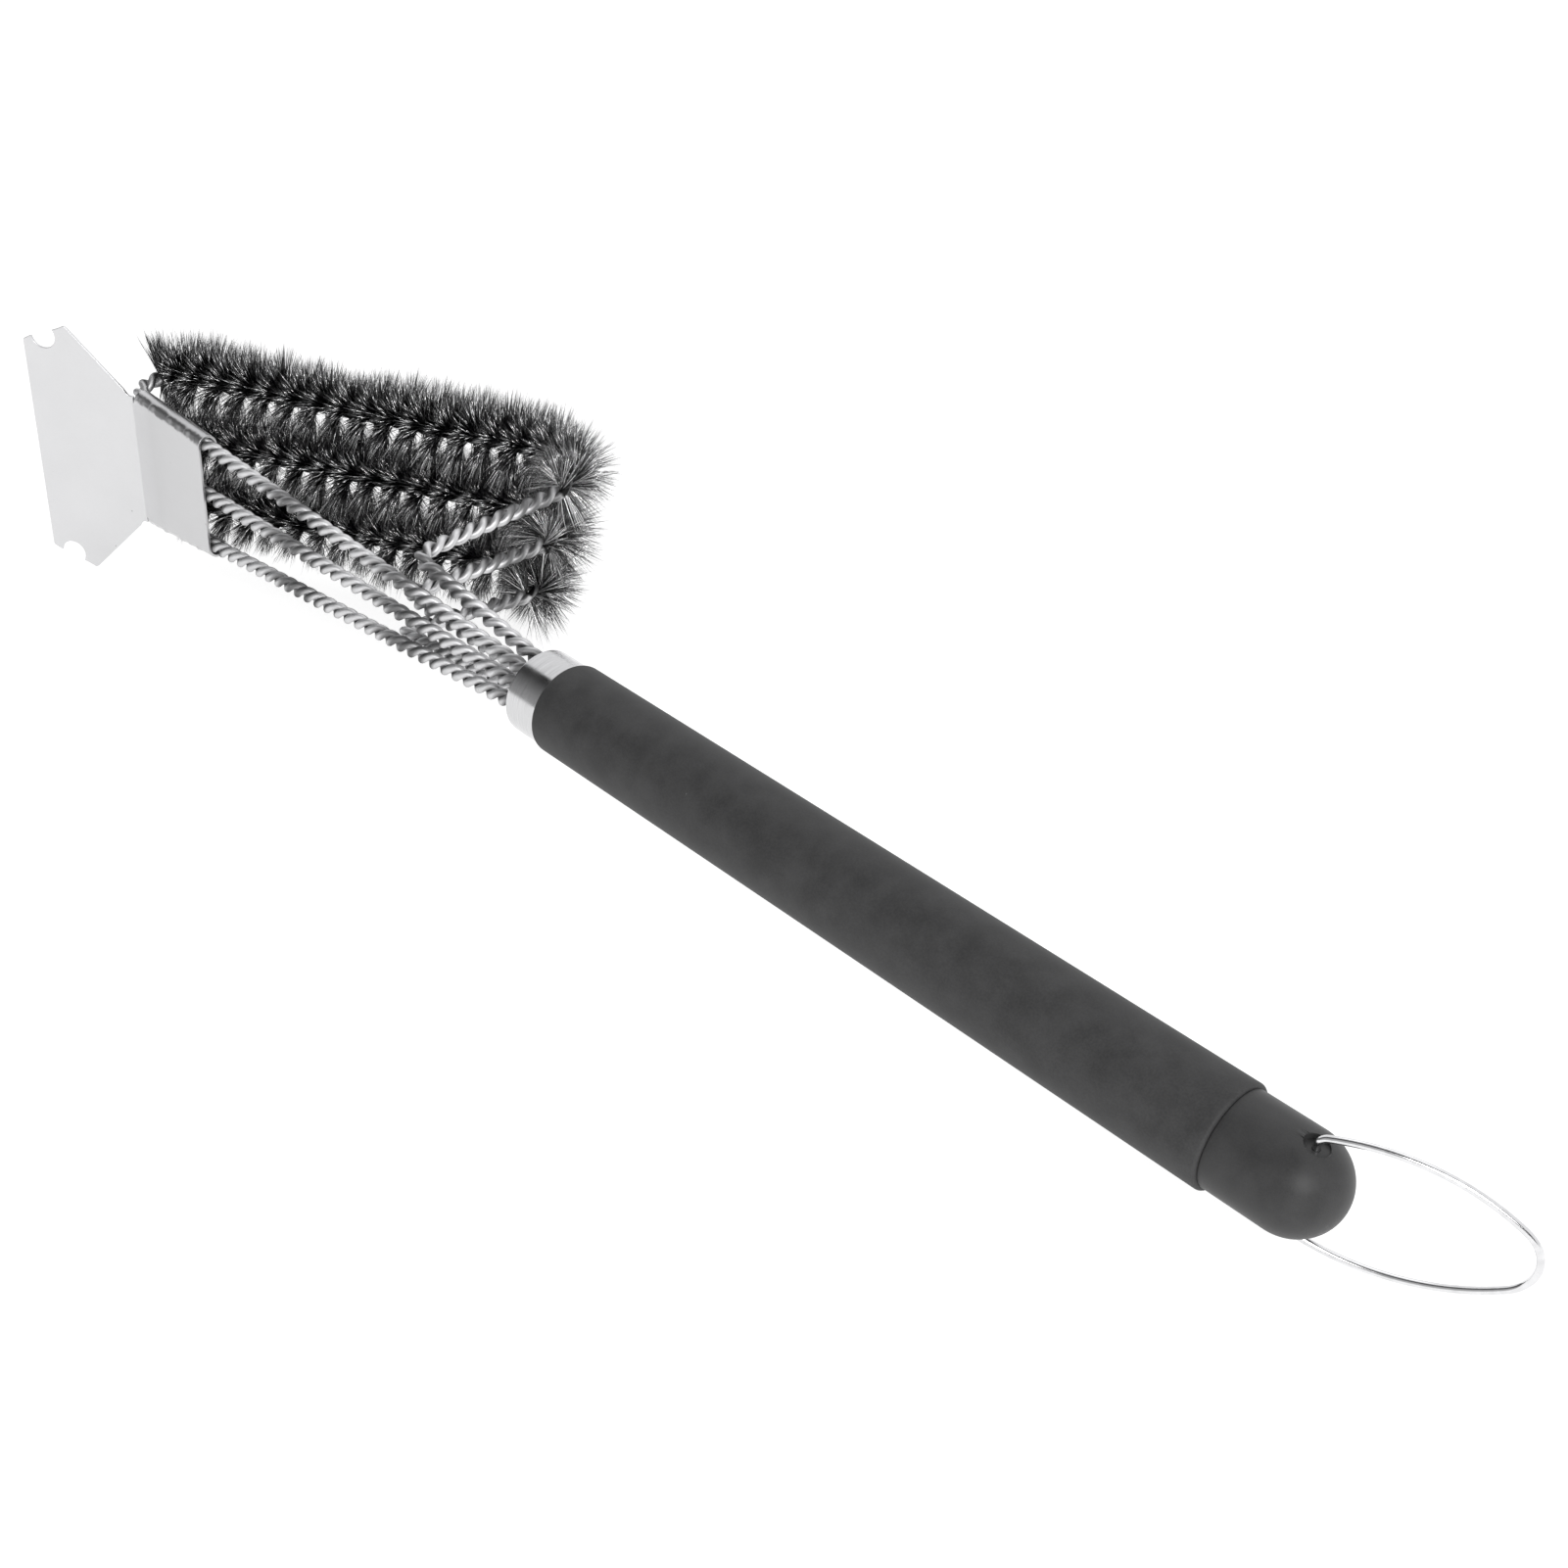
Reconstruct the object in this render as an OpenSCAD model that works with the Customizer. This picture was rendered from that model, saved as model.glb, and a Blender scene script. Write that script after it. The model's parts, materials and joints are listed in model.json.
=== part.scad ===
// Grill cleaning brush: three looped twisted-wire brushes side by side, a bent sheet scraper
// clamped over their front ends, a tube grip, a domed end cap and a swinging wire hanging loop.
// Each brush is one rope of two wires: out of the handle along the bare arm, round the
// front bend, back along the bristled run, round the rear bend, down the strut and home again.
// Tool frame: X from the head towards the hanging end, Y towards the bristles, Z across.
// X = 0 is the front end of the grip. laid() puts the tool down the way it rests on a table.

/* [Handle] */
// length of the plastic grip tube
grip_len = 206.6; // [150:0.1:260]
// outside diameter of the grip
grip_d = 24.8; // [20.6:0.1:30]
// radius of the rounded grip rims
grip_round = 0.8; // [0.3:0.1:1.2]
// step from the grip down to the steel ring in front of it
ferrule_step = 0.7; // [0.3:0.05:1]
// length of the steel ring
ferrule_len = 11.1; // [8:0.1:20]
// wall of the steel ring
ferrule_wall = 0.9; // [0.6:0.05:1]
// outside diameter of the steel tube inside the grip
core_tube_d = 17; // [16:0.1:18]
// wall of the steel tube
core_tube_wall = 1; // [0.8:0.05:1.5]
// step from the grip down to the end cap
cap_step = 0.95; // [0.3:0.05:1.5]
// length of the cap from the grip to the centre of its dome
cap_straight = 14.8; // [12:0.1:25]
// how far the cap's spigot reaches into the steel tube
cap_spigot_len = 20; // [12:0.5:40]
// how far the rope plug reaches into the grip
plug_depth = 24; // [21:0.5:40]

/* [Hanging loop] */
// wire diameter of the hanging loop
loop_wire_d = 1.6; // [1.2:0.1:2]
// distance of the loop's sides from the grip's surface, seen along the handle
loop_side_gap = 2.6; // [2.3:0.1:5]
// reach from the cross hole to the far end of the loop
loop_reach = 44; // [40:0.5:60]
// radius of the loop's far end
loop_end_r = 9; // [8:0.1:11]
// radius of the bends where the wire leaves the cap
loop_bend_r = 2.5; // [2:0.1:3]
// distance of the cross hole behind the dome's centre
hole_set = 2.5; // [1:0.1:4]
// angle of the loop from the handle's line, towards the bristles
loop_rest_angle = 20; // [0:1:60]
// width of the shallow recess round each mouth of the cross hole
recess_d = 5.6; // [4.5:0.1:7]
// depth of the recess floor below the cap's full radius
recess_depth = 1.65; // [1:0.05:2.2]
// gap between the two wire ends inside the cross hole
loop_end_gap = 3; // [1:0.5:6]

/* [Brush ropes] */
// diameter of each twisted wire
wire_d = 2.3; // [2:0.01:2.8]
// plug wall between the holes of neighbouring ropes
plug_web_across = 0.84; // [0.6:0.01:1.4]
// plug wall between the holes of the two ends of one rope
plug_web_up = 0.44; // [0.4:0.01:1.2]
// length of the arms from the handle to where their spread and drop are measured
arm_len = 150; // [140:1:170]
// spread of the arms where they are measured, just in front of the clamp's rear edge
arm_pitch_clamp = 16.8; // [15:0.1:19]
// drop of the arms at the same place
arm_drop_clamp = 6.8; // [5:0.1:8]
// spread of the bristled runs
run_pitch = 20; // [18:0.1:24]
// angle of the bristled runs to the handle's line
run_angle = 28.3; // [24:0.1:32]
// height of the bristled run's line above the handle's line at the strut of the middle brush
run_height = 74.5; // [66:0.5:80]
// distance of the middle strut in front of the grip
strut_x = 76; // [70:0.5:90]
// how much further forward each strut stands than the one before
strut_step = 4.5; // [0:0.5:10]
// spread of the strut feet
foot_pitch = 13.8; // [12:0.1:16]
// height of the strut feet above the handle's line
foot_rise = 3.6; // [3:0.1:6]
// radius of the front bend
front_bend_r = 9; // [5:0.1:9.4]
// radius of the rear bend
rear_bend_r = 14; // [10:0.5:18]
// radius of the bend at the strut foot
foot_bend_r = 5; // [4:0.1:7]

/* [Bristles] */
// radius of the bristled runs over the tips
bristle_r = 16.5; // [12:0.5:18]
// distance from the end of the front bend to the first bristles, less than 0 for inside the bend
bristle_start = -6; // [-8:0.5:10]

/* [Scraper] */
// sheet thickness
sheet = 0.8; // [0.6:0.05:0.9]
// length of the clamp folded round the arms
clamp_len = 35.4; // [28:0.1:44]
// how far the rolled sides run on inside the middles of the outer arms
lip_len = 1; // [0.5:0.1:6]
// bend of the plate away from the bristles, from the clamp's line
plate_angle = 31.5; // [15:0.5:45]
// inside radius of the bend
plate_bend_r = 2; // [1:0.1:4]
// length of the plate from the bend to the front edge
plate_len = 33; // [27:0.1:45]
// width of the straight front edge
front_width = 68.8; // [66:0.2:90]
// width over the rear points
point_width = 80.8; // [79:0.2:96]
// distance from the bend to the rear points
point_set = 18.8; // [16:0.1:20]
// how far the neck's edges stand outside the middles of the outer arms
neck_edge = 1.67; // [1.2:0.01:2.2]
// relief between the clamp's rolled sides and the neck
roll_set = 0.6; // [0.4:0.1:1.5]
// radius of the round notches in both ends of the plate
notch_r = 3.9; // [3:0.1:4.5]

/* [Fits] */
// radial gap between fixed pieces
fixed_gap = 0.05; // [0.03:0.01:0.1]
// radial gap of the hanging wire in the cross hole
swing_gap = 0.08; // [0.05:0.01:0.1]
// gap between the wires of a rope
wire_gap = 0.06; // [0.04:0.01:0.15]
// gap between bristle bundles
bundle_gap = 0.3; // [0.3:0.05:1]

/* [Resting pose] */
// dip of the handle towards its hanging end
rest_tilt = 3.2; // [0:0.1:6]
// lean of the head about the handle's line
rest_roll = 2.4; // [0:0.1:5]

/* [Hidden] */
$fn = 64;
RIGHT = 1;
MIDDLE = 0;
LEFT = -1;
past = 1;                                   // how far a cutting shape runs past a face
joint_swell = 1.02;                         // the round joints in a bent bar stand this proud
joint_set = 0.1;                            // straight lengths stop this short of a joint's middle
seam = 0.01;                                // step between flat and rolled sheet
lap = 0.1;                                  // flat sheet runs this far into rolled sheet
wire_pitch = wire_d + wire_gap;             // between neighbouring wires in a rope
rope_r = (wire_pitch + wire_d) / 2;         // round a rope of two wires
bore_r = rope_r + fixed_gap;
rope_pitch_in = 2 * bore_r + plug_web_across;  // spread of the three ropes in the handle
rope_rise_in = bore_r + plug_web_up / 2;    // half the spread of the two ends of one rope there
ferrule_d = grip_d - 2 * ferrule_step;
plug_r = ferrule_d / 2 - ferrule_wall - fixed_gap;
plug_front = 1;                             // the plug stands this far back in the ring
nose_len = 12;                              // plug nose inside the steel tube
nose_bore_r = 4;
core_bore_r = core_tube_d / 2 - core_tube_wall;
rope_stop = 6;                              // plug left beyond the ends of the ropes
rope_end_x = plug_depth - rope_stop;
root_set = 1;                               // straight rope in front of the plug
root_x = plug_front - ferrule_len - root_set;
cap_d = grip_d - 2 * cap_step;              // the cap and its dome
recess_floor = cap_d / 2 - recess_depth;    // measured from the handle's middle
loop_width = grip_d + 2 * loop_side_gap;    // between the middles of the loop's two sides
hinge_x = grip_len + cap_straight + hole_set;
hole_r = loop_wire_d / 2 + swing_gap;

// arms
arm_x = root_x - arm_len;
clamp_set = 1.5;                            // from the clamp's rear edge forward to arm_x
foot_set = 1;                               // the strut's foot stands this far behind its top
arm_slope_y = (rope_rise_in - arm_drop_clamp) / (root_x - arm_x);
arm_slope_z = (arm_pitch_clamp - rope_pitch_in) / (root_x - arm_x);
arm_angle = atan(-arm_slope_y);             // droop of the arms in the tool's side view
splay_angle = atan(arm_slope_z);
clamp_rear_x = arm_x + clamp_set;
// the arms' line meets the runs' line here
corner_x = (arm_slope_y * root_x - rope_rise_in - run_height - strut_x * tan(run_angle))
           / (tan(run_angle) + arm_slope_y);

function unit(v) = v / norm(v);
function arm_y(x) = -rope_rise_in + arm_slope_y * (root_x - x);
function arm_z(x) = rope_pitch_in + arm_slope_z * (root_x - x);
function run_y(x) = run_height + (x + strut_x) * tan(run_angle);
function strut_at(side) = -strut_x + strut_step * side;

// centre line of one rope, corner by corner
function rope_points(side) = [
    [rope_end_x, -rope_rise_in, rope_pitch_in * side],
    [root_x, -rope_rise_in, rope_pitch_in * side],
    [corner_x, arm_y(corner_x), arm_z(corner_x) * side],
    [strut_at(side), run_y(strut_at(side)), run_pitch * side],
    [strut_at(side) + foot_set, foot_rise, foot_pitch * side],
    [root_x, rope_rise_in, rope_pitch_in * side],
    [rope_end_x, rope_rise_in, rope_pitch_in * side]
];
rope_bends = [0, 0, front_bend_r, rear_bend_r, foot_bend_r, 0, 0];

// turning a vector v about the unit axis a by the angle t
function turned(v, a, t) = v * cos(t) + cross(a, v) * sin(t) + a * (a * v) * (1 - cos(t));
function heading(p, k) = unit(p[k + 1] - p[k]);
function bend_axis(p, k) = unit(cross(heading(p, k - 1), heading(p, k)));
function bend_turn(p, k) = acos(heading(p, k - 1) * heading(p, k));
// offset of one wire from the rope's centre line, carried along without twist
function carried(p, k, first) = k == 0 ? first
    : turned(carried(p, k - 1, first), bend_axis(p, k), bend_turn(p, k));
function first_offset(wire) = wire_pitch / 2 * [0, wire == 1 ? 1 : -1, 0];
// how far the wire lies towards the inside of a bend, and the corner it then has
function inward(p, k) = cross(bend_axis(p, k), heading(p, k - 1));
function both_ways(p, k) = unit(inward(p, k) + cross(bend_axis(p, k), heading(p, k)));
function side_shift(p, k, o) = o * inward(p, k);
function along_axis(p, k, o) = bend_axis(p, k) * (o * bend_axis(p, k));
function wire_corner(p, k, o) = p[k] + along_axis(p, k, o)
    + both_ways(p, k) * side_shift(p, k, o) / cos(bend_turn(p, k) / 2);
function wire_points(p, first) = [
    for (k = [0 : len(p) - 1])
        k == 0 ? p[0] + first
        : k == len(p) - 1 ? p[k] + carried(p, k - 1, first)
        : wire_corner(p, k, carried(p, k - 1, first))
];
function wire_bends(p, r, first) = [
    for (k = [0 : len(p) - 1])
        r[k] == 0 ? 0 : r[k] - side_shift(p, k, carried(p, k - 1, first))
];

// round bar through the corners p, with the bend radii r; a bend of 0 is a sharp corner
module bent_bar(p, r, bar_r) {
    last = len(p) - 1;
    function cut(k) = r[k] == 0 ? 0 : r[k] * tan(bend_turn(p, k) / 2);
    for (k = [0 : last - 1]) {
        d = heading(p, k);
        back = k == 0 ? 0 : joint_set;
        ahead = k == last - 1 ? 0 : joint_set;
        translate(p[k] + d * (cut(k) + back))
            rotate([0, acos(d[2]), atan2(d[1], d[0])])
                cylinder(r = bar_r, h = norm(p[k + 1] - p[k]) - cut(k) - cut(k + 1) - back - ahead);
    }
    for (k = [1 : last - 1]) {
        translate(p[k] - heading(p, k - 1) * cut(k))
            sphere(r = bar_r * joint_swell);
        if (r[k] > 0) {
            translate(p[k] + heading(p, k) * cut(k))
                sphere(r = bar_r * joint_swell);
            n = bend_axis(p, k);
            u = -inward(p, k);
            d = heading(p, k - 1);
            c = p[k] + both_ways(p, k) * r[k] / cos(bend_turn(p, k) / 2);
            multmatrix([[u[0], d[0], n[0], c[0]],
                        [u[1], d[1], n[1], c[1]],
                        [u[2], d[2], n[2], c[2]],
                        [0, 0, 0, 1]])
                rotate_extrude(angle = bend_turn(p, k))
                    translate([r[k], 0])
                        circle(r = bar_r);
        }
    }
}

module rope_wire(side, wire) {
    p = rope_points(side);
    first = first_offset(wire);
    color([0.72, 0.73, 0.75])
        bent_bar(wire_points(p, first), wire_bends(p, rope_bends, first), wire_d / 2);
}

// clear way for a whole rope through the bristles
module rope_way(side) {
    bent_bar(rope_points(side), rope_bends, bore_r);
}

// bristled run and rear bend of one brush, trimmed against its neighbours and the arms
module bristles(side) {
    p = rope_points(side);
    d = heading(p, 2);
    start = p[2] + d * (front_bend_r * tan(bend_turn(p, 2) / 2) + bristle_start);
    run_cut = rear_bend_r * tan(bend_turn(p, 3) / 2);
    run_past = rear_bend_r / 3;
    run_end = p[3] - d * run_cut;
    ball = p[3] + both_ways(p, 3) * (rear_bend_r / cos(bend_turn(p, 3) / 2) - rear_bend_r);
    low = side == LEFT ? -3 * bristle_r : run_pitch * (side - 0.5) + bundle_gap / 2;
    high = side == RIGHT ? 3 * bristle_r : run_pitch * (side + 0.5) - bundle_gap / 2;
    floor_y = arm_y(arm_x) + rope_r + sheet + 2 * bundle_gap;
    reach = run_height + 2 * bristle_r;
    color([0.13, 0.13, 0.14])
        difference() {
            intersection() {
                union() {
                    translate(start)
                        rotate([0, acos(d[2]), atan2(d[1], d[0])])
                            cylinder(r = bristle_r, h = norm(run_end - start) + run_past);
                    translate(ball)
                        sphere(r = bristle_r);
                }
                translate([start[0] - reach, floor_y, low])
                    cube([-start[0] + reach, reach, high - low]);
            }
            rope_way(side);
        }
}

module ferrule() {
    color([0.8, 0.81, 0.83])
        translate([-ferrule_len, 0, 0])
            rotate([0, 90, 0])
                difference() {
                    cylinder(d = ferrule_d, h = ferrule_len - fixed_gap);
                    translate([0, 0, -past])
                        cylinder(r = plug_r + fixed_gap, h = ferrule_len + 2 * past);
                }
}

module rope_plug() {
    color([0.1, 0.1, 0.1])
        difference() {
            translate([plug_front - ferrule_len, 0, 0])
                rotate([0, 90, 0]) {
                    cylinder(r = plug_r, h = ferrule_len - plug_front + plug_depth);
                    cylinder(r = core_bore_r - fixed_gap,
                             h = ferrule_len - plug_front + plug_depth + nose_len);
                }
            for (side = [LEFT, MIDDLE, RIGHT])
                for (rise = [-rope_rise_in, rope_rise_in])
                    translate([-ferrule_len, rise, rope_pitch_in * side])
                        rotate([0, 90, 0])
                            cylinder(r = bore_r, h = ferrule_len + rope_end_x + fixed_gap);
            translate([plug_depth, 0, 0])
                rotate([0, 90, 0])
                    cylinder(r = nose_bore_r, h = nose_len + past);
        }
}

// ring section of the grip with rounded rims
module grip_section() {
    bore = plug_r + fixed_gap;
    tube = core_tube_d / 2 + fixed_gap;
    difference() {
        union() {
            translate([tube, 0])
                square([grip_d / 2 - grip_round - tube, grip_len]);
            translate([tube, grip_round])
                square([grip_d / 2 - tube, grip_len - 2 * grip_round]);
            for (y = [grip_round, grip_len - grip_round])
                translate([grip_d / 2 - grip_round, y])
                    circle(r = grip_round);
        }
        translate([0, -past])
            square([bore, plug_depth + fixed_gap + past]);
    }
}

module grip() {
    color([0.2, 0.2, 0.2])
        rotate([0, 90, 0])
            rotate_extrude()
                grip_section();
}

module core_tube() {
    color([0.7, 0.7, 0.72])
        translate([plug_depth + 2 * fixed_gap, 0, 0])
            rotate([0, 90, 0])
                difference() {
                    cylinder(d = core_tube_d, h = grip_len - plug_depth - 4 * fixed_gap);
                    translate([0, 0, -past])
                        cylinder(r = core_bore_r, h = grip_len);
                }
}

module end_cap() {
    color([0.12, 0.12, 0.12])
        difference() {
            union() {
                translate([grip_len + fixed_gap, 0, 0])
                    rotate([0, 90, 0])
                        cylinder(d = cap_d, h = cap_straight - fixed_gap);
                translate([grip_len + cap_straight, 0, 0])
                    sphere(d = cap_d);
                translate([grip_len - cap_spigot_len, 0, 0])
                    rotate([0, 90, 0])
                        cylinder(r = core_bore_r - fixed_gap, h = cap_spigot_len + past);
            }
            translate([hinge_x, 0, -cap_d])
                cylinder(r = hole_r, h = 2 * cap_d);
            for (up = [0, 1])
                mirror([0, 0, up])
                    translate([hinge_x, 0, recess_floor])
                        cylinder(d = recess_d, h = cap_d);
        }
}

// hanging loop in its own plane: x along the loop, y across, drawn for one half and mirrored
module loop_arc(centre, r, from, sweep) {
    translate([centre[0], centre[1], 0])
        rotate([0, 0, from])
            rotate_extrude(angle = sweep)
                translate([r, 0])
                    circle(d = loop_wire_d);
}

module loop_ball(at) {
    translate([at[0], at[1], 0])
        sphere(d = loop_wire_d * joint_swell);
}

module loop_half() {
    half = loop_width / 2;
    crown = loop_reach - loop_end_r;
    widest = loop_reach / 3;
    run = crown - widest;
    side_r = (run * run + half * half - loop_end_r * loop_end_r) / (2 * (half - loop_end_r));
    mid = [widest, half - side_r];
    bend_x = widest - loop_bend_r;
    bend_y = mid[1] + sqrt(pow(side_r - loop_bend_r, 2) - bend_x * bend_x);
    far = atan2(-mid[1], crown - widest);
    near = atan2(bend_y - mid[1], loop_bend_r - widest);
    loop_arc([crown, 0], loop_end_r, 0, far);
    loop_arc(mid, side_r, far, near - far);
    loop_arc([loop_bend_r, bend_y], loop_bend_r, near, 180 - near);
    loop_ball([crown + loop_end_r * cos(far), loop_end_r * sin(far)]);
    loop_ball([loop_bend_r + loop_bend_r * cos(near), bend_y + loop_bend_r * sin(near)]);
    loop_ball([0, bend_y]);
    translate([0, loop_end_gap / 2, 0])
        rotate([-90, 0, 0])
            cylinder(d = loop_wire_d, h = bend_y - loop_end_gap / 2 - joint_set);
}

module hang_loop() {
    color([0.75, 0.76, 0.78])
        translate([hinge_x, 0, 0])
            rotate([90, 0, loop_rest_angle]) {
                loop_half();
                mirror([0, 1, 0])
                    loop_half();
                loop_ball([loop_reach, 0]);
            }
}

// distance of the neck's edges from the middle
function neck_half() = arm_z(clamp_rear_x - clamp_len) + neck_edge;

// outline of the scraper plate: x from the bend forward, y across
module plate_outline() {
    half = front_width / 2;
    tip = point_width / 2;
    slant = 1.2;                            // how far the corner cuts come in or go out
    rear_cut = 2.6;
    front_cut = 2;
    start = neck_half() - lap;
    rear_x = point_set + rear_cut;
    front_x = plate_len - front_cut;
    notch_on = 0.4;                         // the notches' middles, from the middle of the cut corners
    notch_in = 1;
    notch_x = (plate_len + point_set) / 2 + notch_on;
    notch_y = (half + tip) / 2 - notch_in;
    difference() {
        polygon([[0, start], [point_set, tip], [rear_x, tip - slant],
                 [front_x, half + slant], [plate_len, half],
                 [plate_len, -half], [front_x, -half - slant],
                 [rear_x, slant - tip], [point_set, -tip], [0, -start]]);
        for (across = [-1, 1])
            translate([notch_x, across * notch_y])
                circle(r = notch_r);
    }
}

// the clamp's own frame: x forward from its rear edge, y across, z away from the bristles
module clamp_frame() {
    translate([clamp_rear_x, arm_y(clamp_rear_x), 0])
        rotate([0, 0, arm_angle])
            rotate([-90, 0, 180])
                children();
}

// one long side of the clamp across an outer arm: flat panel, half round roll and short lip
module side_profile() {
    outer = rope_r + fixed_gap + sheet;
    inner = rope_r + fixed_gap;
    reach = 2 * arm_pitch_clamp;
    translate([-reach, inner])
        square([reach, sheet]);
    translate([-lip_len, -outer])
        square([lip_len, sheet]);
    intersection() {
        difference() {
            circle(r = outer);
            circle(r = inner);
        }
        translate([0, -2 * outer])
            square([2 * outer, 4 * outer]);
    }
}

// the side of the clamp on +Y, cut at the middle; its ends are square to the tool
module clamp_side() {
    long = 2 * clamp_len;
    tall = 3 * rope_r;
    intersection() {
        translate([0, arm_z(clamp_rear_x), 0])
            rotate([0, 0, splay_angle])
                translate([-clamp_len / 2, 0, 0])
                    rotate([90, 0, 90])
                        linear_extrude(height = long)
                            side_profile();
        translate([0, -lap, -tall])
            cube([clamp_len - roll_set, long, 2 * tall]);
    }
}

// side view of the front sheet: x forward, y away from the bristles
module bent_strip() {
    inner = rope_r + fixed_gap;
    bend_c = inner + sheet + plate_bend_r;
    translate([clamp_len - roll_set, inner])
        square([roll_set, sheet]);
    intersection() {
        translate([clamp_len, bend_c])
            difference() {
                circle(r = plate_bend_r + sheet);
                circle(r = plate_bend_r);
            }
        translate([clamp_len, 0])
            square([2 * bend_c, bend_c]);
        translate([clamp_len, bend_c])
            rotate([0, 0, plate_angle])
                translate([-3 * bend_c, -3 * bend_c])
                    square([3 * bend_c, 6 * bend_c]);
    }
    translate([clamp_len, bend_c])
        rotate([0, 0, plate_angle])
            translate([-lap, seam - plate_bend_r - sheet])
                square([plate_len + 2 * past, sheet - 2 * seam]);
}

// clamp and plate in one sheet: a tongue joins the panel to the neck, past the relief of the rolls
module scraper() {
    inner = rope_r + fixed_gap;
    tongue = clamp_len / 4;
    tongue_half = neck_half() - neck_edge - 1;
    neck_x = clamp_len - roll_set / 2;
    bend_c = inner + sheet + plate_bend_r;
    wide = 2 * point_width;
    color([0.86, 0.86, 0.87])
        clamp_frame() {
            clamp_side();
            mirror([0, 1, 0])
                clamp_side();
            translate([clamp_len - tongue, -tongue_half, inner + seam])
                cube([tongue - lap, 2 * tongue_half, sheet - 2 * seam]);
            intersection() {
                translate([0, wide / 2, 0])
                    rotate([90, 0, 0])
                        linear_extrude(height = wide)
                            bent_strip();
                union() {
                    translate([neck_x, -neck_half(), -wide / 2])
                        cube([clamp_len - neck_x + bend_c, 2 * neck_half(), wide]);
                    translate([clamp_len, 0, bend_c])
                        rotate([0, -plate_angle, 0])
                            translate([0, 0, -wide / 2])
                                linear_extrude(height = wide)
                                    plate_outline();
                }
            }
        }
}

// the tool laid on a table: one rear point of the scraper, the lowest bristles and the loop touch
module laid() {
    rotate([rest_roll, rest_tilt, 0])
        translate([-grip_len / 2, 0, 0])
            children();
}

laid() {
    scraper();
    rope_wire(RIGHT, 1);  // right_wire_1
    rope_wire(RIGHT, 2);  // right_wire_2
    rope_wire(MIDDLE, 1);  // middle_wire_1
    rope_wire(MIDDLE, 2);  // middle_wire_2
    rope_wire(LEFT, 1);  // left_wire_1
    rope_wire(LEFT, 2);  // left_wire_2
    bristles(RIGHT);  // right_bristles
    bristles(MIDDLE);  // middle_bristles
    bristles(LEFT);  // left_bristles
    ferrule();
    rope_plug();
    grip();
    core_tube();
    end_cap();
    hang_loop();
}
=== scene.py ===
import bpy
import bmesh
import json
import math
from mathutils import Matrix, Vector


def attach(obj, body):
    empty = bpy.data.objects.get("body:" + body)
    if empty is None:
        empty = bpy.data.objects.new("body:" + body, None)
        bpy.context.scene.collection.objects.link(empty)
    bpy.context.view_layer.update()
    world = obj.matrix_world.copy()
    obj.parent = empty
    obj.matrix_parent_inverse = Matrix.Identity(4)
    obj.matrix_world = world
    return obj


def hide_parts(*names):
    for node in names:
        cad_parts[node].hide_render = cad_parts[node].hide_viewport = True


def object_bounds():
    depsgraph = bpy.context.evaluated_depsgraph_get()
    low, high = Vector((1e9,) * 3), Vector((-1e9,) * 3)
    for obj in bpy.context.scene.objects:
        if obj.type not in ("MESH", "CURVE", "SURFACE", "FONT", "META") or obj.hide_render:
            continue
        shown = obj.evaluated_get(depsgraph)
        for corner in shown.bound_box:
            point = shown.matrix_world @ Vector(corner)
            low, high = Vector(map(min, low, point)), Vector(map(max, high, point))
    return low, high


# Grill cleaning brush. Pieces are drawn in the tool's own frame, in millimetres, and then laid in
# the row frame: x runs along the handle from the front of the grip, y towards the bristles, z across.
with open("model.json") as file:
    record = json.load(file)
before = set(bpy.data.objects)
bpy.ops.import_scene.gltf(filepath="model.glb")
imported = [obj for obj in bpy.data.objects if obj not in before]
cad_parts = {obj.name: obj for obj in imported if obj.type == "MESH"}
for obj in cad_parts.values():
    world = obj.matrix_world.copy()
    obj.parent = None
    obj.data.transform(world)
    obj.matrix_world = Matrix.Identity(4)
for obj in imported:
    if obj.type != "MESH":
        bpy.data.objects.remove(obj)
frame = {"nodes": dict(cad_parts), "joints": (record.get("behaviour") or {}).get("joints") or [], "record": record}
cadLow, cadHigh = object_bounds()
record = frame["record"]
scene = bpy.context.scene

handle = {"gripLength": 206.6, "gripWidth": 24.8, "rimRound": 0.8, "wall": 3.85, "segments": 128,
          "look": {"dark": 0.036, "light": 0.058, "rough": 0.62, "grain": 0.45, "cloud": 7.0},
          "plugLook": {"dark": 0.01, "light": 0.016, "rough": 0.55, "grain": 0.3, "cloud": 3.0}}

# the tool's directions come from the record: the grip's line and the hinge line of the hanging loop
gripMount = next(m for m in record["mounts"] if m["name"] == "grip")
alongGrip = Vector(gripMount["axis"]).normalized()
acrossHead = Vector(frame["joints"][0]["axis"]).normalized()
toBristles = acrossHead.cross(alongGrip).normalized()
toolToRow = Matrix((alongGrip, toBristles, acrossHead)).transposed().to_4x4()
toolToRow.translation = Vector(gripMount["pos_m"]) - alongGrip * handle["gripLength"] / 2000
toolToRow = toolToRow @ Matrix.Scale(0.001, 4)


def addNode(tree, kind, inputs=None, **settings):
    node = tree.nodes.new(kind)
    for key, value in settings.items():
        setattr(node, key, value)
    for key, value in (inputs or {}).items():
        socket = node.inputs[key]
        if isinstance(value, bpy.types.NodeSocket):
            tree.links.new(value, socket)
        else:
            socket.default_value = value
    return node


def mathNode(tree, operation, a, b=0.0, c=0.0):
    return addNode(tree, "ShaderNodeMath", {0: a, 1: b, 2: c}, operation=operation).outputs[0]


def vectorNode(tree, operation, a, b):
    node = addNode(tree, "ShaderNodeVectorMath", {0: a, 1: b}, operation=operation)
    return node.outputs["Value" if operation == "DOT_PRODUCT" else "Vector"]


def scaled(tree, vector, factor):
    return addNode(tree, "ShaderNodeVectorMath", {0: vector, "Scale": factor}, operation="SCALE").outputs[0]


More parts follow.
